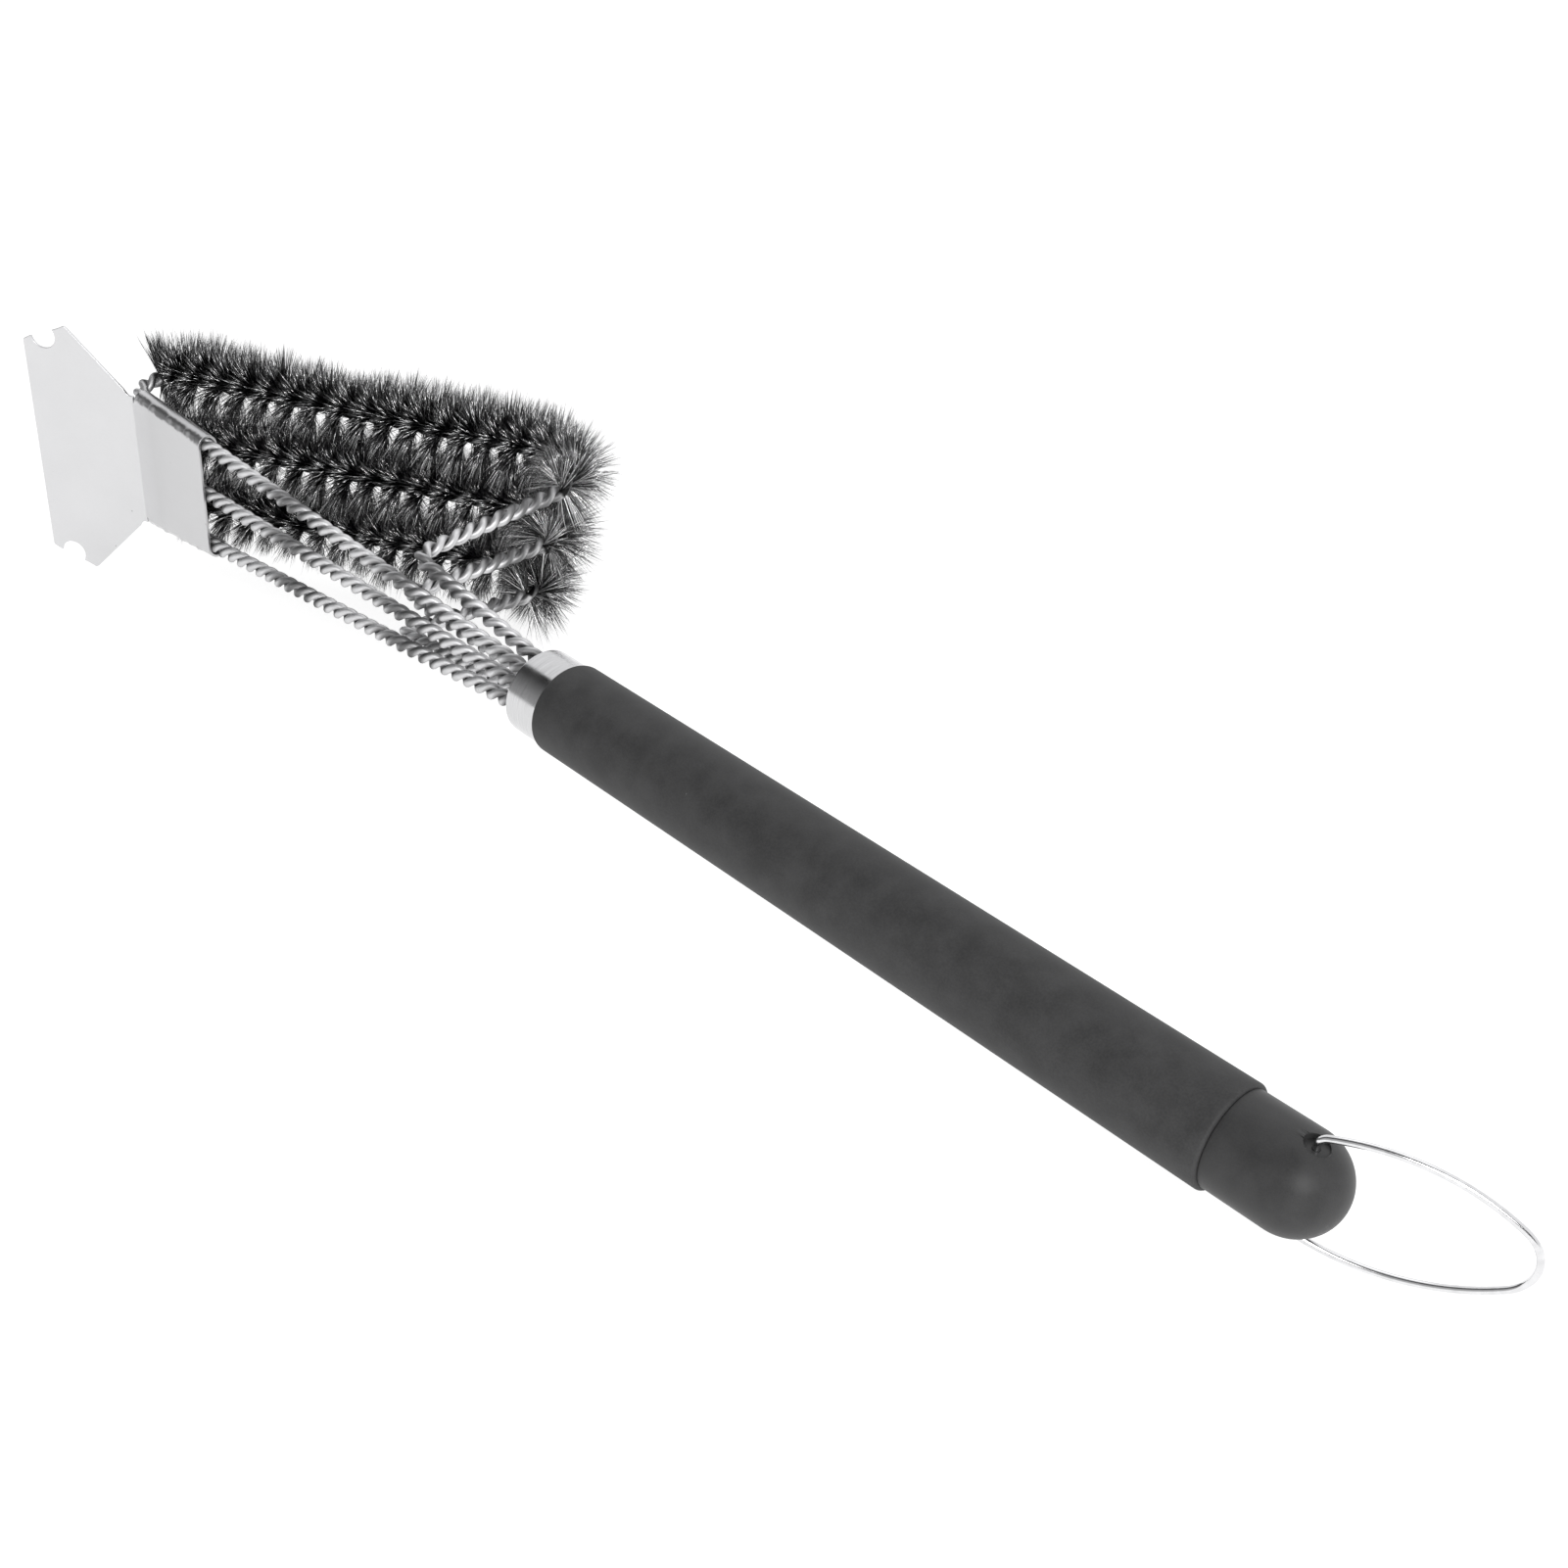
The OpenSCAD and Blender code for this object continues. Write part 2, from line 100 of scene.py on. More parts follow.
def ranged(tree, value, low, high, first, last, **settings):
    # value from low to high becomes first to last, and stays there beyond
    return addNode(tree, "ShaderNodeMapRange", {0: value, 1: low, 2: high, 3: first, 4: last},
                   **settings).outputs[0]


def blended(tree, a, share, b):
    return mathNode(tree, "ADD", mathNode(tree, "MULTIPLY", a, share), mathNode(tree, "MULTIPLY", b, 1 - share))


def newGeometryTree(name, sockets):
    tree = bpy.data.node_groups.new(name, "GeometryNodeTree")
    tree.interface.new_socket("Geometry", in_out="INPUT", socket_type="NodeSocketGeometry")
    for label, kind in sockets:
        tree.interface.new_socket(label, in_out="INPUT", socket_type="NodeSocket" + kind)
    tree.interface.new_socket("Geometry", in_out="OUTPUT", socket_type="NodeSocketGeometry")
    return tree, tree.nodes.new("NodeGroupInput"), tree.nodes.new("NodeGroupOutput")


def positionIn(tree):
    return tree.nodes.new("GeometryNodeInputPosition").outputs[0]


def storedValue(tree, geometry, name, value, domain="POINT", kind="FLOAT"):
    return addNode(tree, "GeometryNodeStoreNamedAttribute", {"Geometry": geometry, "Name": name, "Value": value},
                   data_type=kind, domain=domain).outputs[0]


def readValue(tree, name, kind="FLOAT"):
    return addNode(tree, "GeometryNodeInputNamedAttribute", {"Name": name}, data_type=kind).outputs[0]


def fineCurve(tree, given):
    return addNode(tree, "GeometryNodeResampleCurve",
                   {"Curve": given.outputs[0], "Length": given.outputs["Step"]}, mode="LENGTH").outputs[0]


def sweptWire(tree, given, curve):
    radius = mathNode(tree, "MULTIPLY", given.outputs["Wire"], 0.5)
    circle = addNode(tree, "GeometryNodeCurvePrimitiveCircle",
                     {"Resolution": given.outputs["Sides"], "Radius": radius})
    return addNode(tree, "GeometryNodeCurveToMesh",
                   {"Curve": curve, "Profile Curve": circle.outputs[0], "Fill Caps": True}).outputs[0]


def finishTree(tree, given, out, geometry):
    smooth = addNode(tree, "GeometryNodeSetShadeSmooth", {"Geometry": geometry})
    real = addNode(tree, "GeometryNodeRealizeInstances", {"Geometry": smooth.outputs[0]})
    dressed = addNode(tree, "GeometryNodeSetMaterial",
                      {"Geometry": real.outputs[0], "Material": given.outputs["Finish"]})
    tree.links.new(dressed.outputs[0], out.inputs[0])


def placedObject(name, data):
    obj = bpy.data.objects.new(name, data)
    scene.collection.objects.link(obj)
    return obj


def evaluatedMesh(obj, name):
    # the object's mesh after its modifiers; the object itself is removed
    graph = bpy.context.evaluated_depsgraph_get()
    made = bpy.data.meshes.new_from_object(obj.evaluated_get(graph), depsgraph=graph)
    bpy.data.objects.remove(obj)
    made.name = name
    return made


def grownMesh(name, points, tree, values):
    # runs a node tree on a path and keeps the result as a plain mesh
    curve = bpy.data.curves.new(name, "CURVE")
    curve.dimensions = "3D"
    spline = curve.splines.new("POLY")
    spline.points.add(len(points) - 1)
    for k, p in enumerate(points):
        spline.points[k].co = (p[0], p[1], p[2], 1)
    obj = placedObject(name, curve)
    modifier = obj.modifiers.new("grow", "NODES")
    modifier.node_group = tree
    for item in tree.interface.items_tree:
        if item.in_out == "INPUT" and item.name in values:
            modifier[item.identifier] = values[item.name]
    made = evaluatedMesh(obj, name)
    bpy.data.curves.remove(curve)
    for helper in ("core", "out", "curl", "holds"):
        if helper in made.attributes:
            made.attributes.remove(made.attributes[helper])
    return made


def finishPiece(name, mesh, body, nodes, material=None):
    mesh.transform(toolToRow)
    mesh.update()
    if material:
        mesh.materials.clear()
        mesh.materials.append(material)
    obj = placedObject(name, mesh)
    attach(obj, body)
    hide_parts(*nodes)


def newShaderGroup(name, inputs, outputs):
    tree = bpy.data.node_groups.new(name, "ShaderNodeTree")
    face = tree.interface
    face.new_socket("Place", in_out="INPUT", socket_type="NodeSocketVector")
    for label, start in inputs:
        face.new_socket(label, in_out="INPUT", socket_type="NodeSocketFloat").default_value = start
    for label in outputs:
        face.new_socket(label, in_out="OUTPUT", socket_type="NodeSocketFloat")
    return tree, tree.nodes.new("NodeGroupInput"), tree.nodes.new("NodeGroupOutput")


def toneGroup():
    # soft clouds, fine grain and small specks for any surface; coordinates in millimetres
    sizes = (("Cloud Size", 8.0), ("Grain Size", 0.5), ("Speck Size", 3.0), ("Speck Share", 0.06))
    tree, given, out = newShaderGroup("toneAndGrain", sizes, ("Cloud", "Grain", "Speck"))
    place = given.outputs["Place"]
    for label, detail, size in (("Cloud", 4.0, "Cloud Size"), ("Grain", 2.0, "Grain Size")):
        scale = mathNode(tree, "DIVIDE", 1.0, given.outputs[size])
        noise = addNode(tree, "ShaderNodeTexNoise", {"Vector": place, "Scale": scale, "Detail": detail})
        tree.links.new(noise.outputs[0], out.inputs[label])
    scale = mathNode(tree, "DIVIDE", 1.0, given.outputs["Speck Size"])
    cells = addNode(tree, "ShaderNodeTexVoronoi", {"Vector": place, "Scale": scale})
    near = mathNode(tree, "LESS_THAN", cells.outputs["Distance"], given.outputs["Speck Share"])
    tree.links.new(near, out.inputs["Speck"])
    return tree


def brushedGroup():
    # fine lines running one way; the first coordinate runs along the lines
    sizes = (("Line Length", 12.0), ("Line Width", 0.12))
    tree, given, out = newShaderGroup("brushedLines", sizes, ("Lines",))
    long = mathNode(tree, "DIVIDE", 1.0, given.outputs["Line Length"])
    wide = mathNode(tree, "DIVIDE", 1.0, given.outputs["Line Width"])
    stretch = addNode(tree, "ShaderNodeCombineXYZ", {0: long, 1: wide, 2: wide})
    place = vectorNode(tree, "MULTIPLY", given.outputs["Place"], stretch.outputs[0])
    noise = addNode(tree, "ShaderNodeTexNoise", {"Vector": place, "Scale": 1.0, "Detail": 5.0})
    tree.links.new(noise.outputs[0], out.inputs["Lines"])
    return tree


toneAndGrain = toneGroup()
brushedLines = brushedGroup()


def newMaterial(name, **settings):
    material = bpy.data.materials.new(name)
    material.use_nodes = True
    tree = material.node_tree
    shader = tree.nodes["Principled BSDF"]
    for key, value in settings.items():
        shader.inputs[key].default_value = value
    return material, tree, shader


def groupNode(tree, group, place, sizes):
    node = addNode(tree, "ShaderNodeGroup", node_tree=group)
    tree.links.new(place, node.inputs["Place"])
    for label, value in sizes.items():
        node.inputs[label].default_value = value
    return node.outputs


def toneNode(tree, place, **sizes):
    return groupNode(tree, toneAndGrain, place, {key.title() + " Size": v for key, v in sizes.items()})


def linesNode(tree, place, **sizes):
    return groupNode(tree, brushedLines, place, {"Line " + key.title(): v for key, v in sizes.items()})[0]


def toolPlace(tree):
    # object coordinates in millimetres
    coord = tree.nodes.new("ShaderNodeTexCoord")
    return addNode(tree, "ShaderNodeMapping",
                   {"Vector": coord.outputs["Object"], "Scale": (1000, 1000, 1000)}).outputs[0]


def attributeIn(tree, name):
    return addNode(tree, "ShaderNodeAttribute", attribute_name=name).outputs["Fac"]


def grey(v):
    # a trace of blue keeps the greys from looking warm
    return (v, v, v * 1.01)


def ramp(tree, value, stops):
    # stops are (position, grey tone)
    node = addNode(tree, "ShaderNodeValToRGB", {0: value})
    elements = node.color_ramp.elements
    for element, (at, tone) in zip((elements[0], elements[1]), (stops[0], stops[-1])):
        element.position = at
        element.color = (*grey(tone), 1)
    for at, tone in stops[1:-1]:
        elements.new(at).color = (*grey(tone), 1)
    return node.outputs[0]


def setColour(tree, shader, colour, specks, speckTone):
    mixed = addNode(tree, "ShaderNodeMix", {0: specks, 6: colour, 7: (*grey(speckTone), 1)}, data_type="RGBA")
    tree.links.new(mixed.outputs[2], shader.inputs["Base Color"])


def setRoughness(tree, shader, value, first, last, low=0.3, high=0.7):
    tree.links.new(ranged(tree, value, low, high, first, last), shader.inputs["Roughness"])


def bump(tree, shader, height, strength, distance):
    node = addNode(tree, "ShaderNodeBump", {"Height": height, "Strength": strength, "Distance": distance})
    tree.links.new(node.outputs[0], shader.inputs["Normal"])


def plasticFinish(name, dark, light, rough, grain, cloud):
    # moulded plastic: clouded, finely grained, with a few paler worn specks
    material, tree, shader = newMaterial(name, Metallic=0.0)
    shader.inputs["Specular IOR Level"].default_value = 0.25
    tone = groupNode(tree, toneAndGrain, toolPlace(tree),
                     {"Cloud Size": cloud, "Grain Size": grain, "Speck Size": 9.0, "Speck Share": 0.022})
    both = blended(tree, tone["Cloud"], 0.62, tone["Grain"])
    setColour(tree, shader, ramp(tree, both, ((0.36, dark), (0.64, light))), tone["Speck"], light * 1.9)
    setRoughness(tree, shader, both, rough - 0.07, rough + 0.07)
    bump(tree, shader, both, 0.22, 0.00022)
    return material


def turnedFinish(name, tone, roughness):
    # turned steel: fine lines round the piece
    material, tree, shader = newMaterial(name, Metallic=1.0)
    place = tree.nodes.new("ShaderNodeTexCoord").outputs["UV"]
    lines = linesNode(tree, place, length=9.0, width=0.09)
    tree.links.new(ramp(tree, lines, ((0.3, tone[0]), (0.7, tone[1]))), shader.inputs["Base Color"])
    setRoughness(tree, shader, toneNode(tree, place, cloud=5.0)["Cloud"], *roughness)
    bump(tree, shader, lines, 0.1, 0.00008)
    return material


def smoothPath(corners, bends, step):
    # straight lengths joined by round bends, as points at most one step apart
    points = [corners[0]]
    for k in range(1, len(corners) - 1):
        a, b = (corners[k] - corners[k - 1]).normalized(), (corners[k + 1] - corners[k]).normalized()
        turn = a.angle(b)
        if bends[k] == 0 or turn < 1e-4:
            points.append(corners[k])
            continue
        cut = bends[k] * math.tan(turn / 2)
        centre = corners[k] + (b - a).normalized() * bends[k] / math.cos(turn / 2)
        start = corners[k] - a * cut
        axis = a.cross(b).normalized()
        count = max(3, int(bends[k] * turn / step) + 1)
        for i in range(count + 1):
            points.append(centre + Matrix.Rotation(turn * i / count, 3, axis) @ (start - centre))
    points.append(corners[-1])
    return points


# the three ropes of two wires each; lengths are in millimetres, angles in degrees
rope = {"wire": 2.3, "wireGap": 0.06, "strands": 2, "lay": 9.9, "brushLay": 16.4, "turnsLeft": True,
        "pitchIn": 5.6, "riseIn": 2.6, "endIn": 18.0, "root": -11.1, "armLength": 150.0,
        "armPitch": 16.8, "armDrop": 6.8, "runPitch": 20.0, "runAngle": 28.3, "runHeight": 74.5,
        "strut": 76.0, "strutStep": 4.5, "footPitch": 13.8, "footRise": 3.6, "footSet": 1.0,
        "bends": [0, 0, 9.0, 14.0, 5.0, 0, 0], "step": 0.5, "sides": 12,
        "tone": (0.6, 0.8), "roughness": (0.44, 0.56)}
armSlopeY = (rope["riseIn"] - rope["armDrop"]) / rope["armLength"]
armSlopeZ = (rope["armPitch"] - rope["pitchIn"]) / rope["armLength"]
laySockets = [("Lay", "Float"), ("Brush Lay", "Float"), ("Brush Start", "Float"), ("Brush End", "Float"),
              ("Step", "Float")]


def strandFinish():
    # drawn galvanised wire: satin, slightly clouded, with fine lines along each wire, and painted shade in its
    # grooves
    material, tree, shader = newMaterial("drawnWire", Metallic=1.0)
    tone = groupNode(tree, toneAndGrain, toolPlace(tree),
                     {"Cloud Size": 2.6, "Grain Size": 0.3, "Speck Size": 1.6, "Speck Share": 0.08})
    run = addNode(tree, "ShaderNodeCombineXYZ", {0: attributeIn(tree, "along"), 1: attributeIn(tree, "strand")})
    lines = linesNode(tree, run.outputs[0], length=5.0, width=0.04)
    both = blended(tree, tone["Cloud"], 0.6, lines)
    colour = ramp(tree, both, ((0.3, rope["tone"][0]), (0.7, rope["tone"][1])))
    # painted shade: the grooves between the wires are darkened, and where the rope holds bristles all but the
    # crests are darkened more
    held = attributeIn(tree, "held")
    low = mathNode(tree, "MULTIPLY_ADD", held, 1.2, -0.85)
    high = mathNode(tree, "MULTIPLY_ADD", held, 0.85, 0.13)
    least = mathNode(tree, "MULTIPLY_ADD", held, -0.25, 0.28)
    most = mathNode(tree, "MULTIPLY_ADD", held, -0.35, 1.0)
    grooveShade = ranged(tree, attributeIn(tree, "outer"), low, high, least, most)
    colour = scaled(tree, colour, grooveShade)
    shader.inputs["Specular Tint"].default_value = (0.35, 0.35, 0.35, 1)
    setColour(tree, shader, colour, tone["Speck"], 0.4)
    setRoughness(tree, shader, both, *rope["roughness"])
    bump(tree, shader, mathNode(tree, "ADD", tone["Grain"], lines), 0.12, 0.00012)
    return material


def ropeCorners(side):
    r = rope
    tilt = math.tan(math.radians(r["runAngle"]))
    cornerX = (armSlopeY * r["root"] - r["riseIn"] - r["runHeight"] - r["strut"] * tilt) / (tilt + armSlopeY)
    strutX = -r["strut"] + r["strutStep"] * side
    cornerY = -r["riseIn"] + armSlopeY * (r["root"] - cornerX)
    cornerZ = r["pitchIn"] + armSlopeZ * (r["root"] - cornerX)
    return [Vector((r["endIn"], -r["riseIn"], r["pitchIn"] * side)),
            Vector((r["root"], -r["riseIn"], r["pitchIn"] * side)),
            Vector((cornerX, cornerY, cornerZ * side)),
            Vector((strutX, r["runHeight"] + (strutX + r["strut"]) * tilt, r["runPitch"] * side)),
            Vector((strutX + r["footSet"], r["footRise"], r["footPitch"] * side)),
            Vector((r["root"], r["riseIn"], r["pitchIn"] * side)),
            Vector((r["endIn"], r["riseIn"], r["pitchIn"] * side))]


def brushStretch(side, points):
    # lengths along the rope where its bristles begin and end
    corners = ropeCorners(side)

    def lengthPast(k):
        # length of the rope up to the far end of its bend at corner k
        a, b = (corners[k] - corners[k - 1]).normalized(), (corners[k + 1] - corners[k]).normalized()
        place = corners[k] + b * rope["bends"][k] * math.tan(a.angle(b) / 2)
        nearest = min(range(len(points)), key=lambda i: (points[i] - place).length)
        return sum((points[i + 1] - points[i]).length for i in range(nearest))

    return lengthPast(2) + bristles["start"], lengthPast(3)


def tiltAlong(tree, given):
    # turn of the rope at each point; the lay is longer where it holds bristles
    start, end = given.outputs["Brush Start"], given.outputs["Brush End"]
    length = tree.nodes.new("GeometryNodeSplineParameter").outputs["Length"]
    inside = addNode(tree, "ShaderNodeClamp", {0: length, 1: start, 2: end}).outputs[0]
    inside = mathNode(tree, "SUBTRACT", inside, start)
    bare = mathNode(tree, "DIVIDE", mathNode(tree, "SUBTRACT", length, inside), given.outputs["Lay"])
    held = mathNode(tree, "DIVIDE", inside, given.outputs["Brush Lay"])
    turn = 2 * math.pi * (-1 if rope["turnsLeft"] else 1)
    return length, mathNode(tree, "MULTIPLY", mathNode(tree, "ADD", bare, held), turn)


def ropeTree():
    tree, given, out = newGeometryTree("twistedRope", laySockets + [
        ("Wire", "Float"), ("Offset", "Float"), ("Sides", "Int"), ("Finish", "Material")])
    length, tilt = tiltAlong(tree, given)
    stored = storedValue(tree, fineCurve(tree, given), "along", length)
    # 1 where the rope holds bristles, 0 where it is bare
    held = mathNode(tree, "MULTIPLY", mathNode(tree, "GREATER_THAN", length, given.outputs["Brush Start"]),
                    mathNode(tree, "LESS_THAN", length, given.outputs["Brush End"]))
    stored = storedValue(tree, stored, "holds", held)
    turned = addNode(tree, "GeometryNodeSetCurveTilt", {"Curve": stored, "Tilt": tilt}).outputs[0]
    wireRadius = mathNode(tree, "MULTIPLY", given.outputs["Wire"], 0.5)
    reach = mathNode(tree, "MULTIPLY", given.outputs["Offset"], wireRadius)
    join = tree.nodes.new("GeometryNodeJoinGeometry")
    for k in range(rope["strands"]):
        # each wire follows its own helix, on its own side of the rope's middle
        away = mathNode(tree, "MULTIPLY", given.outputs["Offset"], 1.0 if k == 0 else -1.0)
        shift = scaled(tree, tree.nodes.new("GeometryNodeInputNormal").outputs[0], away)
        helix = addNode(tree, "GeometryNodeSetPosition", {"Geometry": turned, "Offset": shift}).outputs[0]
        helix = storedValue(tree, helix, "core", positionIn(tree), kind="FLOAT_VECTOR")
        helix = storedValue(tree, helix, "out", shift, kind="FLOAT_VECTOR")
        plain = addNode(tree, "GeometryNodeSetCurveTilt", {"Curve": helix, "Tilt": 0.0}).outputs[0]
        wire = sweptWire(tree, given, plain)
        # 1 on the outside of the rope, -1 in the groove between its wires
        apart = vectorNode(tree, "SUBTRACT", positionIn(tree), readValue(tree, "core", "FLOAT_VECTOR"))
        outer = vectorNode(tree, "DOT_PRODUCT", apart, readValue(tree, "out", "FLOAT_VECTOR"))
        wire = storedValue(tree, wire, "outer", mathNode(tree, "DIVIDE", outer, reach))
        wire = storedValue(tree, wire, "held", readValue(tree, "holds"))
        tree.links.new(storedValue(tree, wire, "strand", float(k)), join.inputs[0])
    finishTree(tree, given, out, join.outputs[0])
    return tree


# the bristles of each rope; thickness is a filament's radius, fan and lean are in radians, and the
# filaments get lighter between rearFrom and rearTo, places along the handle's line
bristles = {"length": 17.4, "spread": 0.2, "start": -8.0, "count": 7500, "thickness": 0.15,
            "fan": 0.44, "lean": 0.13, "curl": 0.06, "floor": -3.2, "thinning": 0.7, "thinFrom": 0.78,
            "clump": 0.3, "clumpScale": 0.33, "rearFrom": -94.0, "rearTo": -74.0, "rearLight": 0.38,
            "frontTrim": 9.0, "frontShare": 0.3, "parts": (("a", 10), ("b", 40)),
            "tone": ((0.0, 0.03), (0.3, 0.06), (0.5, 0.4), (0.7, 1.0)), "roughness": (0.3, 0.22)}


def filamentFinish():
    # blackened steel filaments, each with its own shade, a little brighter towards the tip
    material, tree, shader = newMaterial("blackenedFilament", Metallic=1.0)
    shade = attributeIn(tree, "shade")
    ends = mathNode(tree, "POWER", attributeIn(tree, "tip"), 4.0)
    lighter = mathNode(tree, "MULTIPLY_ADD", ends, 0.25, mathNode(tree, "MULTIPLY", shade, 0.85))
    tree.links.new(ramp(tree, lighter, bristles["tone"]), shader.inputs["Base Color"])
    setRoughness(tree, shader, shade, *bristles["roughness"], low=0.0, high=1.0)
    return material


def spread(tree, low, high, seed, extra):
    node = addNode(tree, "FunctionNodeRandomValue", {"Seed": mathNode(tree, "ADD", seed, float(extra))},
                   data_type="FLOAT")
    node.inputs[2].default_value = low
    node.inputs[3].default_value = high
    return node.outputs[1]


def filamentShape(tree):
    # one filament along x, a thin three-sided cone with its height kept as "tip"
    cone = addNode(tree, "GeometryNodeMeshCone",
                   {"Vertices": 3, "Side Segments": 2, "Radius Top": 0.0, "Radius Bottom": 1.0, "Depth": 1.0},
                   fill_type="NONE")
    height = addNode(tree, "ShaderNodeSeparateXYZ", {0: positionIn(tree)}).outputs[2]
    tipped = storedValue(tree, cone.outputs[0], "tip", height)
    # it keeps most of its thickness and tapers only near its end
    wider = mathNode(tree, "MULTIPLY_ADD", mathNode(tree, "COMPARE", height, 0.5, 0.1), 0.8, 1.0)
    across = addNode(tree, "ShaderNodeCombineXYZ", {0: wider, 1: wider, 2: 1.0})
    fuller = vectorNode(tree, "MULTIPLY", positionIn(tree), across.outputs[0])
    shaped = addNode(tree, "GeometryNodeSetPosition", {"Geometry": tipped, "Position": fuller})
    return addNode(tree, "GeometryNodeTransform",
                   {"Geometry": shaped.outputs[0], "Rotation": (0, math.pi / 2, 0)}).outputs[0]


def bristleTree():
    tree, given, out = newGeometryTree("bristleRows", laySockets + [
        ("Count", "Int"), ("Length", "Float"), ("Spread", "Float"), ("Thickness", "Float"), ("Fan", "Float"),
        ("Lean", "Float"), ("Curl", "Float"), ("Floor", "Float"), ("Thinning", "Float"), ("Thin From", "Float"),
        ("Clump", "Float"), ("Front Trim", "Float"), ("Front Share", "Float"), ("Seed", "Int"),
        ("Finish", "Material")])
    value = given.outputs
    seed = value["Seed"]

    def random(low, high, extra):
        return spread(tree, low, high, seed, extra)

    def combine(operation, a, b=0.0, c=0.0):
        return mathNode(tree, operation, a, b, c)

    tilt = tiltAlong(tree, given)[1]
    turned = addNode(tree, "GeometryNodeSetCurveTilt", {"Curve": fineCurve(tree, given), "Tilt": tilt})
    trimmed = addNode(tree, "GeometryNodeTrimCurve",
                      {"Curve": turned.outputs[0], 4: value["Brush Start"], 5: value["Brush End"]}, mode="LENGTH")
    points = addNode(tree, "GeometryNodeCurveToPoints",
                     {"Curve": trimmed.outputs[0], "Count": value["Count"]}, mode="COUNT")
    # two grooves between the twisted wires let the filaments out, on opposite sides
    flip = combine("MULTIPLY", combine("GREATER_THAN", random(-1.0, 1.0, 1), 0.0), math.pi)
    wide = combine("ADD", random(-1.0, 1.0, 2), random(-1.0, 1.0, 3))
    turn = combine("ADD", combine("ADD", flip, math.pi / 2), combine("MULTIPLY", wide, value["Fan"]))
    # the bundle thins out round the rear bend
    share = combine("DIVIDE", tree.nodes.new("GeometryNodeInputIndex").outputs[0], value["Count"])
    near = ranged(tree, share, value["Thin From"], 1.0, 0.0, 1.0, interpolation_type="SMOOTHSTEP")
    kept = combine("GREATER_THAN", random(0.0, 1.0, 9), combine("MULTIPLY", near, value["Thinning"]))
    leans = combine("MULTIPLY", combine("ADD", random(-1.0, 1.0, 4), random(-1.0, 1.0, 5)), value["Lean"])
    whole = points.outputs["Rotation"]
    for axis, angle in (((0, 0, 1), turn), ((0, 1, 0), leans)):
        step = addNode(tree, "FunctionNodeAxisAngleToRotation", {"Axis": axis, "Angle": angle})
        whole = addNode(tree, "FunctionNodeRotateRotation", {"Rotation": whole, "Rotate By": step.outputs[0]},
                        rotation_space="LOCAL").outputs[0]
    aim = addNode(tree, "FunctionNodeRotateVector", {"Vector": (1, 0, 0), "Rotation": whole}).outputs[0]
    # filaments that point at the arms stop short of them
    aimY = addNode(tree, "ShaderNodeSeparateXYZ", {0: aim}).outputs[1]
    placeY = addNode(tree, "ShaderNodeSeparateXYZ", {0: positionIn(tree)}).outputs[1]
    down = combine("MAXIMUM", combine("MULTIPLY", aimY, -1.0), 0.001)
    room = combine("DIVIDE", combine("SUBTRACT", placeY, value["Floor"]), down)
    uneven = combine("MULTIPLY_ADD", combine("POWER", random(0.0, 1.0, 6), 2.0),
                     combine("MULTIPLY", value["Spread"], -1.0), 1.0)
    # tufts: neighbouring filaments are of much the same length, with shorter groups between
    tuft = addNode(tree, "ShaderNodeTexNoise",
                   {"Vector": positionIn(tree), "Scale": bristles["clumpScale"], "Detail": 3.0})
    tuft = ranged(tree, tuft.outputs[0], 0.4, 0.65, 0.0, value["Clump"])
    uneven = combine("MULTIPLY", uneven, combine("SUBTRACT", 1.0, tuft))
    long = combine("MINIMUM", combine("MULTIPLY", value["Length"], uneven), room)
    # next to the clamp the filaments on the lower side are cut shorter
    low = combine("MAXIMUM", vectorNode(tree, "DOT_PRODUCT", aim, (0, 0, -1)), 0.001)
    front = combine("LESS_THAN", share, value["Front Share"])
    beyond = combine("MULTIPLY", combine("SUBTRACT", 1.0, front), 100.0)
    long = combine("MINIMUM", long, combine("ADD", combine("DIVIDE", value["Front Trim"], low), beyond))
    size = addNode(tree, "ShaderNodeCombineXYZ", {0: long, 1: value["Thickness"], 2: value["Thickness"]})
    many = addNode(tree, "GeometryNodeInstanceOnPoints",
                   {"Points": points.outputs[0], "Selection": kept, "Instance": filamentShape(tree),
                    "Rotation": whole, "Scale": size.outputs[0]})
    # shades: few filaments are bright, and those round the rear bend are all a little lighter
    placeX = addNode(tree, "ShaderNodeSeparateXYZ", {0: positionIn(tree)}).outputs[0]
    rear = ranged(tree, placeX, bristles["rearFrom"], bristles["rearTo"], 0.0, bristles["rearLight"])
    tone = combine("ADD", combine("POWER", random(0.0, 1.0, 8), 2.6), rear)
    shaded = storedValue(tree, many.outputs[0], "shade", tone, "INSTANCE")
    sideways = addNode(tree, "FunctionNodeRandomValue", {"Seed": combine("ADD", seed, 7.0)},
                       data_type="FLOAT_VECTOR")
    sideways.inputs[0].default_value = (-1, -1, -1)
    sideways.inputs[1].default_value = (1, 1, 1)
    curled = storedValue(tree, shaded, "curl", sideways.outputs[0], "INSTANCE", "FLOAT_VECTOR")
    real = addNode(tree, "GeometryNodeRealizeInstances", {"Geometry": curled})
    pull = combine("MULTIPLY", combine("POWER", readValue(tree, "tip"), 2.0),
                   combine("MULTIPLY", value["Curl"], value["Length"]))
    shift = scaled(tree, readValue(tree, "curl", "FLOAT_VECTOR"), pull)
    bent = addNode(tree, "GeometryNodeSetPosition", {"Geometry": real.outputs[0], "Offset": shift})
    finishTree(tree, given, out, bent.outputs[0])
    return tree


